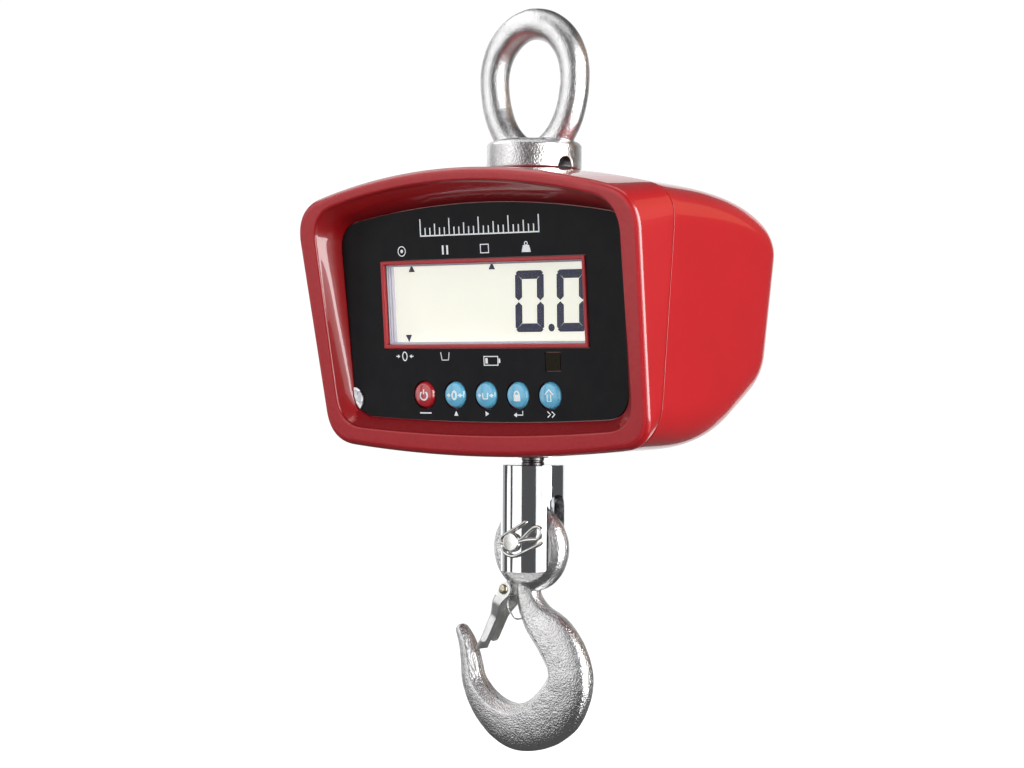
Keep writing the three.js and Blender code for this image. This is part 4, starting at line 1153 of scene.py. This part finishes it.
def latch_spring():
    """A double torsion spring whose legs move with the latch and loop bears on the hook."""
    coil, y = SPRING["coil"], SPRING["y"]
    start = pi - LATCH_LEAN
    foot = Matrix.Rotation(LATCH_LEAN, 4, "Y") @ Vector((-2.1, 0, -8))

    def wire(route):
        return tube([Vector(p) + LATCH_PIVOT for p in route], SPRING["wire"], 6, 12)

    for name, across in (("left", -y), ("right", y)):
        leg = wire([(foot.x, across, foot.z),
                    (coil * cos(start), across, coil * sin(start))])
        finish(leg, f"spring_leg_{name}", "zinc", "latch")
    angles = [start - i * pi / 6 for i in range(7)]
    half = [(coil * cos(angle), coil * sin(angle)) for angle in angles]
    half += [(2, -3.2), (1.1, -6), (1.5, -9), (4.6, -12.8)]
    route = [(x, -y, z) for x, z in half] + [(5.2, across, -13.8) for across in (-3.4, 0, 3.4)]
    route += [(x, y, z) for x, z in reversed(half)]
    finish(wire(route), "spring_wire", "zinc", "hook_body", ["latch_spring"])


# ---- carried-over CAD nodes
def battery_cover():
    """The CAD solid with its edges rounded."""
    piece = bevel(from_cad("battery_cover"), 0.25, 40)
    finish(piece, "cover_plate", "red", "scale_body", ["battery_cover"])


CARRIED = {
    "dark_steel": ["eye_set_screw"],
    "zinc": ["upper_lock_nut", "lower_lock_nut"] + [f"casing_screw_{i}" for i in range(1, 5)]
        + [f"board_screw_{i}" for i in range(1, 5)] + [f"cover_screw_{i}" for i in range(1, 3)],
    "alloy": ["load_cell"],
    "bronze": ["thrust_washer"],
    "rubber": ["eye_seal", "stud_grommet", "casing_gasket", "load_cell_cable", "battery_lead"],
    "black": ["ir_receiver", "battery", "battery_box", "charge_socket"]
        + [f"switch_{key_name}" for key_name in KEY_NAMES],
    "white": ["lcd_backlight"],
    "board": ["main_board"],
}


def carried_nodes():
    for look, nodes in CARRIED.items():
        for node in nodes:
            wear(frame["nodes"][node].data, look)


# ---- studio
def studio_floor():
    radius, thick = 4000, 20
    floor = lofted([[Vector((radius * cos(t), radius * sin(t), z)) for t in spaced(96)]
                    for z in (FLOOR_Z - thick, FLOOR_Z)])
    floor.name = "studio_floor"
    floor.data.transform(Matrix.Scale(MM, 4))
    look = Look("floor_paper", (0.86, 0.86, 0.86), 0.85)
    look.vary_color(look.noise(60), (0.84, 0.84, 0.84))
    look.set("Emission Color", (1, 1, 1, 1))
    look.set("Emission Strength", 1.1)
    floor.data.materials.append(look.material)
    floor.visible_glossy = False
    floor.visible_diffuse = False


def direction(azimuth, elevation):
    """From the object outwards. Azimuth 0 is in front, 90 to the right."""
    a, e = radians(azimuth), radians(elevation)
    return Vector((sin(a) * cos(e), -cos(a) * cos(e), sin(e)))


def softbox(azimuth, elevation, width, height, radiance, tint=(1, 1, 1)):
    """A rectangular light that faces the middle of the object."""
    back = direction(azimuth, elevation)
    data = bpy.data.lights.new("softbox", "AREA")
    data.shape = "RECTANGLE"
    data.size, data.size_y = width * MM, height * MM
    data.energy = radiance * pi * data.size * data.size_y
    data.color = tint
    light = linked("softbox", data)
    light.location = (Vector((0, 0, -160)) + back * LIGHT_DISTANCE) * MM
    light.rotation_mode = "QUATERNION"
    light.rotation_quaternion = back.to_track_quat("Z", "Y")
    light.visible_camera = False


def lights():
    softbox(60, 6, 600, 1500, 1.2)                        # right, from the camera round to behind
    softbox(90, 6, 960, 1500, 9)
    softbox(-22, 12, 1040, 1600, 1.6)                     # left
    softbox(-59, 12, 450, 1600, 1.5)
    softbox(-104, 2, 1000, 900, 0.45)
    softbox(-78, 50, 1500, 900, 1.7)
    softbox(20, 82, 1000, 1000, 1.1)                      # overhead
    softbox(108, -30, 900, 600, 1.0)                      # from below on the right
    softbox(218, 2, 2400, 1500, 0.9)                      # white wall behind
    softbox(142, 28, 700, 900, 0.5, tint=(1, 0.6, 0.32))  # brown furniture behind on the right


def world():
    """White to the eye, and a dim grey room in reflections."""
    made = bpy.data.worlds.new("studio")
    made.use_nodes = True
    tree = made.node_tree
    room = tree.nodes["Background"]
    room.inputs["Color"].default_value = (0.9, 0.92, 0.95, 1)
    room.inputs["Strength"].default_value = 0.11
    paper = tree.nodes.new("ShaderNodeBackground")
    paper.inputs["Color"].default_value = (1, 1, 1, 1)
    paper.inputs["Strength"].default_value = 1.05
    path = tree.nodes.new("ShaderNodeLightPath")
    mix = tree.nodes.new("ShaderNodeMixShader")
    tree.links.new(path.outputs["Is Camera Ray"], mix.inputs["Fac"])
    tree.links.new(room.outputs["Background"], mix.inputs[1])
    tree.links.new(paper.outputs["Background"], mix.inputs[2])
    tree.links.new(mix.outputs["Shader"], tree.nodes["World Output"].inputs["Surface"])
    SCENE.world = made


def camera():
    back = direction(CAMERA["azimuth"], CAMERA["elevation"])
    data = bpy.data.cameras.new("camera")
    data.lens = CAMERA["lens"]
    data.sensor_width = 36
    made = linked("camera", data)
    made.location = (Vector(CAMERA["aim"]) + back * CAMERA["distance"]) * MM
    made.rotation_mode = "QUATERNION"
    roll = Matrix.Rotation(radians(CAMERA["roll"]), 4, "Z").to_quaternion()
    made.rotation_quaternion = (-back).to_track_quat("-Z", "Y") @ roll
    SCENE.camera = made


# ---- everything
camera()
world()
lights()
studio_floor()
SCENE.view_settings.view_transform = "Standard"

front_casing()
window_rim()
rear_casing()
front_panel()
calibration_seal()
display()
panel_marks()
for index, key_name in enumerate(KEY_NAMES):
    key(index, key_name)
lifting_eye()
stud()
clevis()
clevis_pin()
split_pin()
hook()
latch()
latch_pin()
latch_spring()
battery_cover()
carried_nodes()
